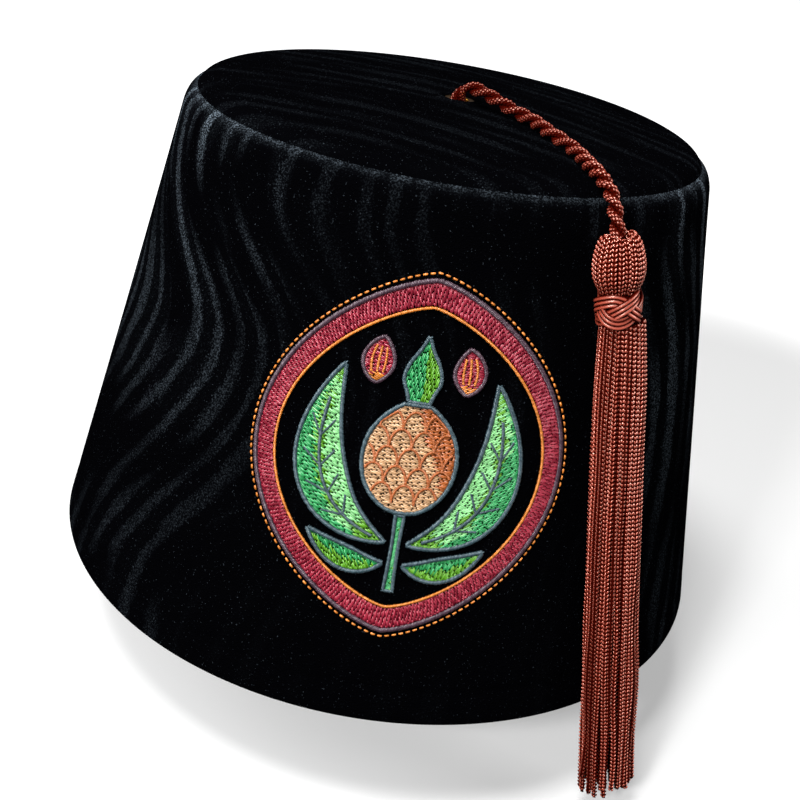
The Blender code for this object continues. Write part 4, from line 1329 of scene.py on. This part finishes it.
def twisted_cord(path, outward, diameter, pitch):
    """Two plies wound round the path, each of fine yarns laid round a core.

    A ply's middle is path + diameter * PLY_OFFSET * outward turned by the angle of the twist,
    and a yarn's middle lies round its ply in the same way. A yarn swells and narrows as a
    sine of the way along it. Returns points, faces and a tone for each point, which holds
    painted shade on the core and between the plies, and painted highlights where a yarn
    swells and on its top.
    """
    travelled = distances(path)
    share = travelled / travelled[-1]
    tight = (1 - LOOSER * (1 - smooth_rise(share, *LOOSE_END))
             - LOOSEST * bell(share - LOOSEST_PLACE, LOOSEST_REACH))
    girth = diameter * (1 + START_BULK * bell(share, BULK_REACH))
    twist = np.append(0, np.cumsum(np.diff(travelled) * tight[1:])) * 2 * pi / pitch
    angle = CORD_LAY * twist + full_turn(PLIES)[:, None]
    both = (PLIES, *path.shape)
    lines, outs = wound(np.broadcast_to(path, both), np.broadcast_to(outward, both),
                        girth[:, None] * PLY_OFFSET, angle)
    turn = full_turn(YARNS)[:, None] - CORD_LAY * YARN_SPIN * twist
    each = (PLIES, YARNS, *path.shape)
    yarns, sides = wound(np.broadcast_to(lines[:, None], each),
                         np.broadcast_to(outs[:, None], each),
                         girth[:, None] * YARN_OFFSET, turn)
    shown = np.sum(sides * outs[:, None], axis=-1).reshape(-1, len(path))
    bead = travelled * 2 * pi / YARN_BEAD + np.arange(PLIES * YARNS)[:, None] * YARN_PHASE
    radii = girth * YARN_WIDTH / 2 * (1 + YARN_SWELL * np.sin(bead))
    fine = tubes(yarns.reshape(-1, len(path), 3), sides.reshape(-1, len(path), 3), radii,
                 YARN_SIDES)
    core = tubes(lines, outs, np.broadcast_to(girth * YARN_OFFSET, both[:2]), YARN_SIDES)
    points, faces, part = join([fine[:2], core[:2]])
    # Painted shade on the core and in the valley between the plies, painted highlights on swells
    # and tops.
    tone = np.full(len(points), CORE_SHADE)
    shade = CORD_TONE + TONE_RISE * share + VALLEY_SHADE * shown + SWELL_HIGHLIGHT * np.sin(bead)
    top = YARN_TOP_HIGHLIGHT * np.cos(full_turn(YARN_SIDES))
    tone[part == 0] = (shade[..., None] + top).ravel()
    return points, faces, tone


class FEZ_OT_cord(Operator):
    """Twist the cord and lay it from the eyelet to the tassel, and tie its stop knot."""
    bl_idname = "fez.cord"
    bl_label = "Twisted Cord"

    def execute(self, context):
        sizes, colours = context.scene.fez_sizes, context.scene.fez_colours
        finish = rayon_material(colours)
        path = smooth_route(CORD_ROUTE, CORD_STATIONS)
        points, faces, tone = twisted_cord(path, np.broadcast_to(BESIDE_CORD, path.shape),
                                           sizes.cord_diameter, sizes.cord_pitch)
        cord = make_piece("cord_twist", points, faces, (finish,), ("tassel_cord",),
                          tone=tone)
        self.tie_stop_knot(sizes, finish)
        return {"FINISHED"}

    def tie_stop_knot(self, sizes, finish):
        """A torus knot drawn in to a tight ball under the cord's start.

        A point is middle + radius * (cos 2t, sin 2t, 0) + swing * out, where out is (cos 3t *
        cos 2t, cos 3t * sin 2t, sin 3t).
        """
        share = np.linspace(STOP_OPEN, 1 - STOP_OPEN, STOP_STATIONS) * 2 * pi
        middle = np.array(CORD_ROUTE[0]) - (0, 0, STOP_DROP)
        through = STOP_THROUGH * share
        ring = level(STOP_ROUND * share)
        out = ring * np.cos(through)[:, None]
        out[:, 2] = np.sin(through)
        path = middle + STOP_RADIUS * ring + STOP_SWING * out
        points, faces, tone = twisted_cord(path, out, sizes.cord_diameter * STOP_THICKNESS,
                                           sizes.cord_pitch * STOP_PITCH)
        make_piece("stop_knot_tied", points, faces, (finish,), ("stop_knot",),
                   tone=tone)


# ------------------ tassel

def tassel_axes():
    """The tassel's own directions: across to the right, inward to the hat, and up."""
    up = unit(TASSEL_TOP - TASSEL_TIP)
    middle = (TASSEL_TOP + TASSEL_TIP) / 2
    inward = np.array((-middle[0], -middle[1], 0.0))
    across = unit(np.cross(inward, up))
    return np.stack([across, np.cross(up, across), up])


def from_tassel(local):
    """Places in the tassel's own directions as places in the scene."""
    return TASSEL_TOP + local @ tassel_axes()


def wound(path, outward, radius, angle):
    """A path wound round another: centre + radius * (cos * normal + sin * side)."""
    along = unit(np.gradient(path, axis=-2))
    normal = squared_up(outward, along)
    side = np.cross(along, normal)
    off = np.cos(angle)[..., None] * normal + np.sin(angle)[..., None] * side
    return path + radius * off, off


LEG_LEAN = radians(29)  # a stitch's two beads lean out from the strand's line by this
BEAD_OFFSET = 0.25      # shares of a strand's width: a bead's place beside and out
BEAD_HALF_WIDTH = 0.155
BEAD_HALF_DEPTH = 0.17
BEAD_SPREAD = 0.55      # how far a bead faces aside, to 1 outward
BEAD_REACH = 0.47       # its half length, as a share of the pitch
STRAND_SHIFT = 0.37     # each strand's stitches start this share of a pitch further on
STRAND_CORE = 0.27      # radius of the core inside a strand, as a share of its width
RIB_OFFSET = 0.31
RIB_RADIUS = 0.075
RIB_SIDES = 5
PART_SHADES = np.array((0.0, -0.9, -0.5))  # tones of stitches, and painted shade of core and ribs
BUNDLE_SHADE = 0.22       # painted shade inside the bundle: how much lighter a stitch is on the bundle's outside


def chainette(paths, outward, widths, twists, pitch, wales=(0.0, pi)):
    """Knitted chains along paths: columns of V's with a straight rib at each side.

    Each V is two slanted beads, one at each side of its wale's line; a wale is turned about
    the path by its angle and the twist. A bead's centre is width * BEAD_OFFSET beside and as
    far out of the path, and its long axis leans out from the path by LEG_LEAN. A core, dark
    with painted shade, runs inside. paths and outward are (chains, stations, 3), widths and
    twists (chains, stations). Returns points, faces, the chain of each point and its tone,
    which holds painted highlights and shade.
    """
    centres, axes, outs, sizes, chain, shown = [], [], [], [], [], []
    for index, (path, out, width, twist) in enumerate(zip(paths, outward, widths, twists)):
        travelled = distances(path)
        places = np.arange((index * STRAND_SHIFT % 1) * pitch, travelled[-1] - pitch, pitch)
        at, facing = (read_off(places, travelled, line) for line in (path, out))
        wide, turn = (np.interp(places, travelled, line) for line in (width, twist))
        along = unit(np.gradient(at, axis=0))
        facing = squared_up(facing, along)
        for wale in wales:
            turned = (np.cos(turn + wale)[:, None] * facing
                      + np.sin(turn + wale)[:, None] * np.cross(along, facing))
            beside = np.cross(along, turned)
            for way in (-1, 1):
                lifted = unit(turned + beside * way * BEAD_SPREAD)
                centres.append(at + (beside * way + turned) * (wide * BEAD_OFFSET)[:, None])
                axes.append(along * cos(LEG_LEAN) - beside * way * sin(LEG_LEAN))
                outs.append(lifted)
                sizes.append(np.column_stack([np.full(len(at), pitch * BEAD_REACH),
                                              wide * BEAD_HALF_WIDTH,
                                              wide * BEAD_HALF_DEPTH]))
                chain.append(np.full(len(at), index))
                shown.append(np.sum(lifted * facing, axis=1))
    bead_points, bead_faces, bead_tone = beads(np.vstack(centres), np.vstack(axes),
                                               np.vstack(outs), np.vstack(sizes))
    block = len(bead_points) // sum(map(len, centres))
    owner = np.repeat(np.concatenate(chain), block)
    # The core and the ribs are smooth, so every second station is enough for them.
    route, facing_out, wide, turn = (
        array[:, ::2] for array in (paths, outward, widths, twists))
    core = tubes(route, facing_out, wide * STRAND_CORE, RIB_SIDES)
    sides = [wound(route, facing_out, (wide * RIB_OFFSET)[..., None], turn + way * pi / 2)
             for way in (-1, 1)]
    ribs = tubes(*(np.concatenate(both) for both in zip(*sides)),
                 np.concatenate([wide * RIB_RADIUS] * 2), RIB_SIDES)
    points, faces, part = join([(bead_points, bead_faces), core[:2], ribs[:2]])
    # Painted shade on core and ribs and on beads that face into the bundle; painted highlights
    # on the beads' tops.
    tone = PART_SHADES[part]
    tone[:len(bead_tone)] += bead_tone + BUNDLE_SHADE * np.repeat(np.concatenate(shown), block)
    return points, faces, np.concatenate([owner, core[2], ribs[2] % len(paths)]), tone


def head_surface(sections, turn):
    """Places on the tassel's head: sections of depth and radius at each angle.

    The radius is flattened front to back, and the front and back dip near the top, which
    leaves a lobe at each side of the cord.
    """
    depth, radius = sections[:, 0][None], sections[:, 1][None]
    turn = turn[:, None]
    lobes = HEAD_CLEFT * np.sin(turn) ** 2 * np.clip(1 - (depth - HEAD_TOP) / CLEFT_DEPTH,
                                                     0, 1)
    return np.stack([radius * np.cos(turn), HEAD_FLATTENING * radius * np.sin(turn),
                     -depth - lobes], axis=-1)


def surface_normals(grid):
    """Outward normals of a grid whose rows go round and whose columns go down."""
    down = np.gradient(grid, axis=1)
    around = np.roll(grid, -1, axis=0) - np.roll(grid, 1, axis=0)
    return unit(np.cross(down, around))


def core_arrays(grid):
    """A closed body through a grid of rings, given as (angles, stations, 3)."""
    angles, stations = grid.shape[:2]
    rings = grid.transpose(1, 0, 2)
    ring = np.arange(angles)
    quads = grid_faces(stations, angles, wrap_columns=True, flip=True)[0]
    last = ring[::-1] + (stations - 1) * angles
    return rings.reshape(-1, 3), [quads, ring[None], last[None]]


HEAD_STATIONS = 60
HEAD_SEED = 71
STRAND_SINK = 0.00045  # the strands' middles lie this far inside the head's surface
CORE_SINK = 0.00075
HEAD_PITCH = 0.93      # length of a folded strand's stitches, as a share of the skirt's
HEAD_TWIST = 0.5       # radians by which its strands differ in their twist
HEAD_TONE = 0.08
STRAND_TONES = 0.24    # how far the tones of single strands spread
# painted shade: the tone of the ball under the strands
HEAD_CORE_SHADE = -0.3
HEAD_SHADE_SPAN = (0.0075, 0.0120)  # depths over which the head's painted shade deepens


class FEZ_OT_tassel_head(Operator):
    """Fold the tassel's head: chainette strands over a ball with two lobes at its top."""
    bl_idname = "fez.tassel_head"
    bl_label = "Tassel Head"

    def execute(self, context):
        sizes, colours = context.scene.fez_sizes, context.scene.fez_colours
        draw = np.random.default_rng(HEAD_SEED)
        wales = sizes.head_wales
        sections = smooth_route(HEAD_SECTIONS, HEAD_STATIONS)
        grid = head_surface(sections, full_turn(wales))
        normals = surface_normals(grid)
        width = np.broadcast_to(2 * pi * sections[:, 1] / wales, grid.shape[:2])
        twist = np.broadcast_to(HEAD_TWIST * (draw.random((wales, 1)) - 0.5), grid.shape[:2])
        strands = chainette(grid - normals * STRAND_SINK, normals, width, twist,
                            sizes.stitch_pitch * HEAD_PITCH, wales=(0.0,))
        points, faces, owner, tone = strands
        tone = tone + HEAD_TONE + STRAND_TONES * (draw.random(wales)[owner] - 0.5)
        # Painted shade towards the neck, where the head is drawn in.
        tone -= HEAD_SHADE * smooth_rise(-points[:, 2], *HEAD_SHADE_SPAN)
        core = core_arrays(grid - normals * CORE_SINK)
        points, faces, _ = join([(points, faces), core])
        tone = np.concatenate([tone, np.full(len(core[0]), HEAD_CORE_SHADE)])
        make_piece("tassel_head_strands", from_tassel(points), faces,
                   (rayon_material(colours),), ("tassel_head",), tone=tone)
        return {"FINISHED"}


GIMP_SIDES = 10
KNOT_STATIONS = 721
KNOT_LEADS = 3
KNOT_BIGHTS = 4
KNOT_RADIUS = 0.0048
KNOT_SWING = 0.0026         # height a band swings to, from the knot's middle
KNOT_WEAVE = 0.00042        # how far a band goes over or under another
KNOT_TUCK = 0.10            # share by which the bights are drawn in to the neck
KNOT_TURN = radians(-71)    # brings a lower bight to the left of the front
KNOT_LEAN = radians(10)     # the upper bights are pulled this far to the right
KNOT_TILT = 0.09            # rise of the knot's right side, as a share of its width
GIMP_SHADE_AND_HIGHLIGHT = (-0.42, 1.08)  # tones: painted shade of a strand's sides, and how much lighter its top is, a painted highlight
NECK_SINK = 0.0009          # the neck inside the knot is this much thinner
NECK_TUCK = 0.12
NECK_SIDES = 32
NECK_STATIONS = 12


class FEZ_OT_neck_knot(Operator):
    """Plait the neck knot: a Turk's head of three leads and four bights in tripled gimp."""
    bl_idname = "fez.neck_knot"
    bl_label = "Neck Knot"

    def execute(self, context):
        """The band's angle is leads * t, its height swing * cos(bights * t) and its radius
        R - weave * sin(2 * bights * t), which makes it pass over and under in turn."""
        sizes, colours = context.scene.fez_sizes, context.scene.fez_colours
        share = np.linspace(0, 2 * pi, KNOT_STATIONS)
        swing = np.cos(KNOT_BIGHTS * share)
        angle = KNOT_LEADS * share + KNOT_TURN + KNOT_LEAN * swing
        radius = KNOT_RADIUS - KNOT_WEAVE * np.sin(2 * KNOT_BIGHTS * share)
        radius = radius * (1 - KNOT_TUCK * swing ** 2)
        height = KNOT_SWING * swing - sum(NECK_KNOT_SPAN) / 2
        out = level(angle)
        line = out * radius[:, None]
        line[:, 2] = height
        beside = unit(np.cross(out, unit(np.gradient(line, axis=0))))
        gimp = sizes.gimp_diameter
        paths = np.stack([line + beside * gimp * lane for lane in (-1, 0, 1)])
        strands = tubes(paths, np.broadcast_to(out, paths.shape),
                        np.full(paths.shape[:2], gimp / 2), GIMP_SIDES)
        points, faces, part = join([strands[:2], core_arrays(self.neck())])
        points[:, 2] += KNOT_TILT * points[:, 0]
        # Painted shade on the strands' sides and the neck inside, and a painted highlight along
        # each strand's top.
        top = np.maximum(np.cos(full_turn(GIMP_SIDES)), 0) ** 4
        deep, lift = GIMP_SHADE_AND_HIGHLIGHT
        tone = np.full(len(points), deep)
        tone[part == 0] += lift * np.tile(top, paths.shape[0] * paths.shape[1])
        finish = rayon_material(colours, "rust rayon gimp", roughness=0.38, ior=2.2)
        make_piece("neck_knot_gimp", from_tassel(points), faces, (finish,),
                   ("tassel_knot",), tone=tone)
        return {"FINISHED"}

    def neck(self):
        """The bound neck inside the knot, as (angles, stations, 3): a barrel's rings."""
        turn = full_turn(NECK_SIDES)[:, None]
        depth = np.linspace(*NECK_KNOT_SPAN, NECK_STATIONS)
        place = np.linspace(-1, 1, NECK_STATIONS)
        radius = (KNOT_RADIUS - NECK_SINK) * (1 - NECK_TUCK * place ** 2)
        return np.stack([radius * np.cos(turn), radius * np.sin(turn),
                         np.broadcast_to(-depth, (NECK_SIDES, NECK_STATIONS))], axis=-1)


PIECE_STRANDS = 12  # strands in one piece of the skirt
# Rings of strands from the outside in: share of the outline, strands, wales of each.
SKIRT_RINGS = ((1.00, 27, (0.0, pi)), (0.70, 18, (0.0,)), (0.35, 8, (0.0,)))
SKIRT_LOCKS = 7
LOCK_PULL = 0.06  # radians by which a strand is drawn to its lock's middle
SKIRT_END = 0.1486
END_RANGE = (-0.0024, 0.0006)  # how far a strand's end lies from that
SKIRT_SEED = 83
SKIRT_STATIONS = 130
SKIRT_SHADE = 0.22  # painted shade: how much darker its colour is where it hangs low
SKIRT_SHADE_SPAN = (0.04, 0.13)
SKIRT_TONE = -0.18
RING_SHADE = 0.42   # painted shade inside the bundle: how much lighter the outermost ring is than the middle
STRAND_TURN = 1.3  # radians that a strand's twist usually changes by on its way
# Wander of a strand: its size at the top and what the loose end adds, and its two waves.
WANDER = (0.00006, 0.00030)
WANDER_WAVES = (9, 21)
WANDER_SHARE = 0.6      # size of the second wave
WANDER_INWARD = 0.0002  # no strand strays further than this towards the hat
FLICK = 0.0028          # one strand's end at the left stands away from the rest
FLICK_PLACE = 14 / 27   # that strand's place round the skirt
FLICK_POWER = 14        # keeps the flick to the strand's very end


class FEZ_OT_skirt(Operator):
    """Hang the skirt: chainette strands in a flattened bundle, uneven at their ends."""
    bl_idname = "fez.skirt"
    bl_label = "Tassel Skirt"

    def execute(self, context):
        sizes, colours = context.scene.fez_sizes, context.scene.fez_colours
        draw = np.random.default_rng(SKIRT_SEED)
        finish = rayon_material(colours)
        number = 0
        for share, count, wales in SKIRT_RINGS:
            paths, outs = (np.array(column) for column in zip(*[
                self.strand(share, index / count, draw) for index in range(count)]))
            widths = np.full(paths.shape[:2], sizes.strand_spacing)
            fall = np.linspace(0, 1, SKIRT_STATIONS)
            twists = (draw.uniform(-pi, pi, (count, 1))
                      + draw.normal(0, STRAND_TURN, (count, 1)) * fall)
            tones = SKIRT_TONE + RING_SHADE * share + STRAND_TONES * (draw.random(count) - 0.5)
            for chosen in np.array_split(np.arange(count), -(-count // PIECE_STRANDS)):
                number += 1
                points, faces, owner, tone = chainette(
                    paths[chosen], outs[chosen], widths[chosen], twists[chosen],
                    sizes.stitch_pitch, wales)
                # Painted shade, deeper where the skirt hangs low.
                tone += tones[chosen][owner] - SKIRT_SHADE * smooth_rise(
                    -points[:, 2], *SKIRT_SHADE_SPAN)
                make_piece(f"skirt_strands_{number}", from_tassel(points), faces, (finish,),
                           ("tassel_skirt",), tone=tone)
        return {"FINISHED"}

    def strand(self, share, place, draw):
        """One strand: an ellipse's place carried down the sections, with a slow wander.

        The angle is pulled towards the middle of its lock as it goes down, and the wander is
        a sum of two sines whose size grows towards the loose end.
        """
        sections = np.array(SKIRT_SECTIONS)
        flick = FLICK if place == FLICK_PLACE else 0.0
        end = SKIRT_END + draw.uniform(*END_RANGE) - 2 * flick
        depth = np.linspace(sections[0, 0], end, SKIRT_STATIONS)
        half_width, half_depth, shift = read_off(depth, sections[:, 0], sections[:, 1:]).T
        fall = (depth - depth[0]) / (SKIRT_END - depth[0])
        angle = 2 * pi * place
        angle = angle + LOCK_PULL * np.sin(SKIRT_LOCKS * angle) * fall ** 2
        loose = WANDER[0] + WANDER[1] * fall ** 1.5
        slow, quick = WANDER_WAVES
        wander = [loose * (first * np.sin(fall * slow + second * 3)
                           + WANDER_SHARE * second * np.sin(fall * quick + first * 5))
                  for first, second in (draw.normal(0, 1, 2) for _ in range(2))]
        x = shift + share * half_width * np.cos(angle) + wander[0] - flick * fall ** FLICK_POWER
        y = share * half_depth * np.sin(angle) + np.minimum(wander[1], WANDER_INWARD)
        out = np.column_stack([np.cos(angle) / half_width, np.sin(angle) / half_depth,
                               np.zeros_like(angle)])
        return np.column_stack([x, y, -depth]), unit(out)


# ------------------ stage

# name, place, size, energy in watts
LIGHTS = (
    ("key", (-0.48, -1.00, 0.68), 0.14, 17.0),
    ("top", (-0.30, -0.40, 1.20), 0.30, 20.0),
    ("left flank", (-1.20, 0.15, 0.50), 0.60, 8.0),
    ("right flank", (1.15, -0.10, 0.60), 0.60, 9.0),
)
LIGHT_AIM = np.array((0.0, 0.0, 0.06))
STUDIO_GLOW = 0.12     # strength of the white all round
FLOOR_REFLECTS = 0.42  # share of the light that the translucent table throws back
# The table's glow is dimmed behind the hat on its right, where the shadow falls, as a painted
# shadow that deepens it.
SHADOW_PLACE = (0.13, 0.09, FLOOR_HEIGHT)
SHADOW_RADIUS = 0.19
GLOW_RADIUS = 0.33  # here the glow is full again
GLOW_LOW = 0.33
FLOOR_RADIUS = 12.0
FLOOR_RINGS = 6
FLOOR_MIDDLE = 0.2  # radius of the flat face in the middle
COVE_RADIUS = 1.5   # of the curve from the floor up into the wall
COVE_HEIGHT = 5.0


class FEZ_OT_stage(Operator):
    """Set up the camera, the pale floor and the soft studio lights."""
    bl_idname = "fez.stage"
    bl_label = "Stage"

    def execute(self, context):
        scene = context.scene
        self.place_camera(scene)
        self.lay_floor(scene)
        for light in LIGHTS:
            self.hang_light(scene, *light)
        world = bpy.data.worlds.new("white studio")
        world.use_nodes = True
        backdrop = world.node_tree.nodes["Background"]
        backdrop.inputs["Color"].default_value = linear("#FFFFFF")
        backdrop.inputs["Strength"].default_value = STUDIO_GLOW
        scene.world = world
        scene.view_settings.view_transform = "Standard"
        scene.view_settings.look = "None"
        return {"FINISHED"}

    def place_camera(self, scene):
        """The camera looks at a point by the hat's axis and is rolled about its own."""
        azimuth, elevation, roll = map(radians, (VIEW_AZIMUTH, VIEW_ELEVATION, VIEW_ROLL))
        back = np.array((sin(azimuth) * cos(elevation), -cos(azimuth) * cos(elevation),
                         sin(elevation)))
        aside, height = VIEW_TARGET
        target = np.array((aside * cos(azimuth), aside * sin(azimuth), height))
        right = unit(np.cross(-back, (0, 0, 1)))
        up = np.cross(right, -back)
        axes = (cos(roll) * right - sin(roll) * up, sin(roll) * right + cos(roll) * up, back)
        data = bpy.data.cameras.new("camera")
        data.lens = VIEW_LENS
        data.sensor_width = SENSOR_WIDTH
        data.clip_start = 0.01
        camera = bpy.data.objects.new("camera", data)
        camera.matrix_world = placed(axes, target + back * VIEW_DISTANCE)
        scene.collection.objects.link(camera)
        scene.camera = camera

    def lay_floor(self, scene):
        """A wide floor under the tassel's tips, turned from a profile that is flat and far
        off curves up into a wall, as a studio's cove does."""
        flat = np.geomspace(FLOOR_MIDDLE, FLOOR_RADIUS, FLOOR_RINGS)
        curve = arc_points((FLOOR_RADIUS, FLOOR_HEIGHT + COVE_RADIUS), COVE_RADIUS, 270, 360, 8)
        profile = np.vstack([np.column_stack([flat, np.full(FLOOR_RINGS, FLOOR_HEIGHT)]),
                             curve[1:], [(FLOOR_RADIUS + COVE_RADIUS, COVE_HEIGHT)]])
        points = turned_grid(profile, full_turn(TURNED_SIDES))
        quads = grid_faces(len(profile), TURNED_SIDES, wrap_columns=True, flip=True)[0]
        mesh = bpy.data.meshes.new("floor")
        mesh.from_pydata(points.reshape(-1, 3).tolist(), [],
                         [list(range(TURNED_SIDES))] + quads.tolist())
        mesh.materials.append(self.floor_material(scene.fez_colours))
        floor = bpy.data.objects.new("floor", mesh)
        scene.collection.objects.link(floor)
        # The floor is kept from lighting the hat, as black flags under a product do.
        floor.visible_diffuse = False
        floor.visible_glossy = False

    def floor_material(self, colours):
        """Matt white acrylic over a light table, which glows less behind the hat on its right: a
        painted shadow.
        """
        finish, tree, shader = new_material("matt white acrylic", {
            "Roughness": 0.9, "Specular IOR Level": 0.1, "Emission Color": colours.floor,
            "Base Color": darker(colours.floor, FLOOR_REFLECTS)})
        place = add_node(tree, "ShaderNodeTexCoord").outputs["Object"]
        reach = add_node(tree, "ShaderNodeVectorMath", {0: place, 1: SHADOW_PLACE},
                         operation="DISTANCE").outputs["Value"]
        add_node(tree, "ShaderNodeMapRange", {
            "Value": reach, "From Min": SHADOW_RADIUS, "From Max": GLOW_RADIUS,
            "To Min": GLOW_LOW, "To Max": 1.0},
            shader.inputs["Emission Strength"], interpolation_type="SMOOTHSTEP")
        return finish

    def hang_light(self, scene, name, place, size, energy):
        """A square soft box that faces the hat: its -Z axis points at LIGHT_AIM."""
        data = bpy.data.lights.new(name, "AREA")
        data.size = size
        data.energy = energy
        back = unit(np.array(place) - LIGHT_AIM)
        right = unit(np.cross((0, 0, 1), back))
        light = bpy.data.objects.new(name, data)
        light.matrix_world = placed((right, np.cross(back, right), back), place)
        scene.collection.objects.link(light)


class FEZ_PT_panel(Panel):
    """Lists the steps that dress the hat, in their order."""
    bl_label = "Velvet Fez"
    bl_space_type = "VIEW_3D"
    bl_region_type = "UI"
    bl_category = "Fez"

    def draw(self, context):
        for step in STEPS:
            self.layout.operator(step.bl_idname)
        for group in (context.scene.fez_sizes, context.scene.fez_colours):
            box = self.layout.box()
            for key in group.__annotations__:
                box.prop(group, key)


STEPS = (FEZ_OT_stage, FEZ_OT_cord, FEZ_OT_crown, FEZ_OT_hem, FEZ_OT_eyelet,
         FEZ_OT_tassel_head, FEZ_OT_neck_knot, FEZ_OT_skirt, FEZ_OT_border, FEZ_OT_leaves,
         FEZ_OT_fruit)
CLASSES = (FezSizes, FezColours, *STEPS, FEZ_PT_panel)


def register():
    """Register the classes, and hang the sizes and colours on the scene."""
    for kind in CLASSES:
        bpy.utils.register_class(kind)
    bpy.types.Scene.fez_sizes = PointerProperty(type=FezSizes)
    bpy.types.Scene.fez_colours = PointerProperty(type=FezColours)


def unregister():
    """Take the sizes and colours off the scene, and the classes out again."""
    del bpy.types.Scene.fez_sizes
    del bpy.types.Scene.fez_colours
    for kind in reversed(CLASSES):
        bpy.utils.unregister_class(kind)


def main():
    register()
    for step in STEPS:
        group, name = step.bl_idname.split(".")
        getattr(getattr(bpy.ops, group), name)()


if __name__ == "__main__":
    main()
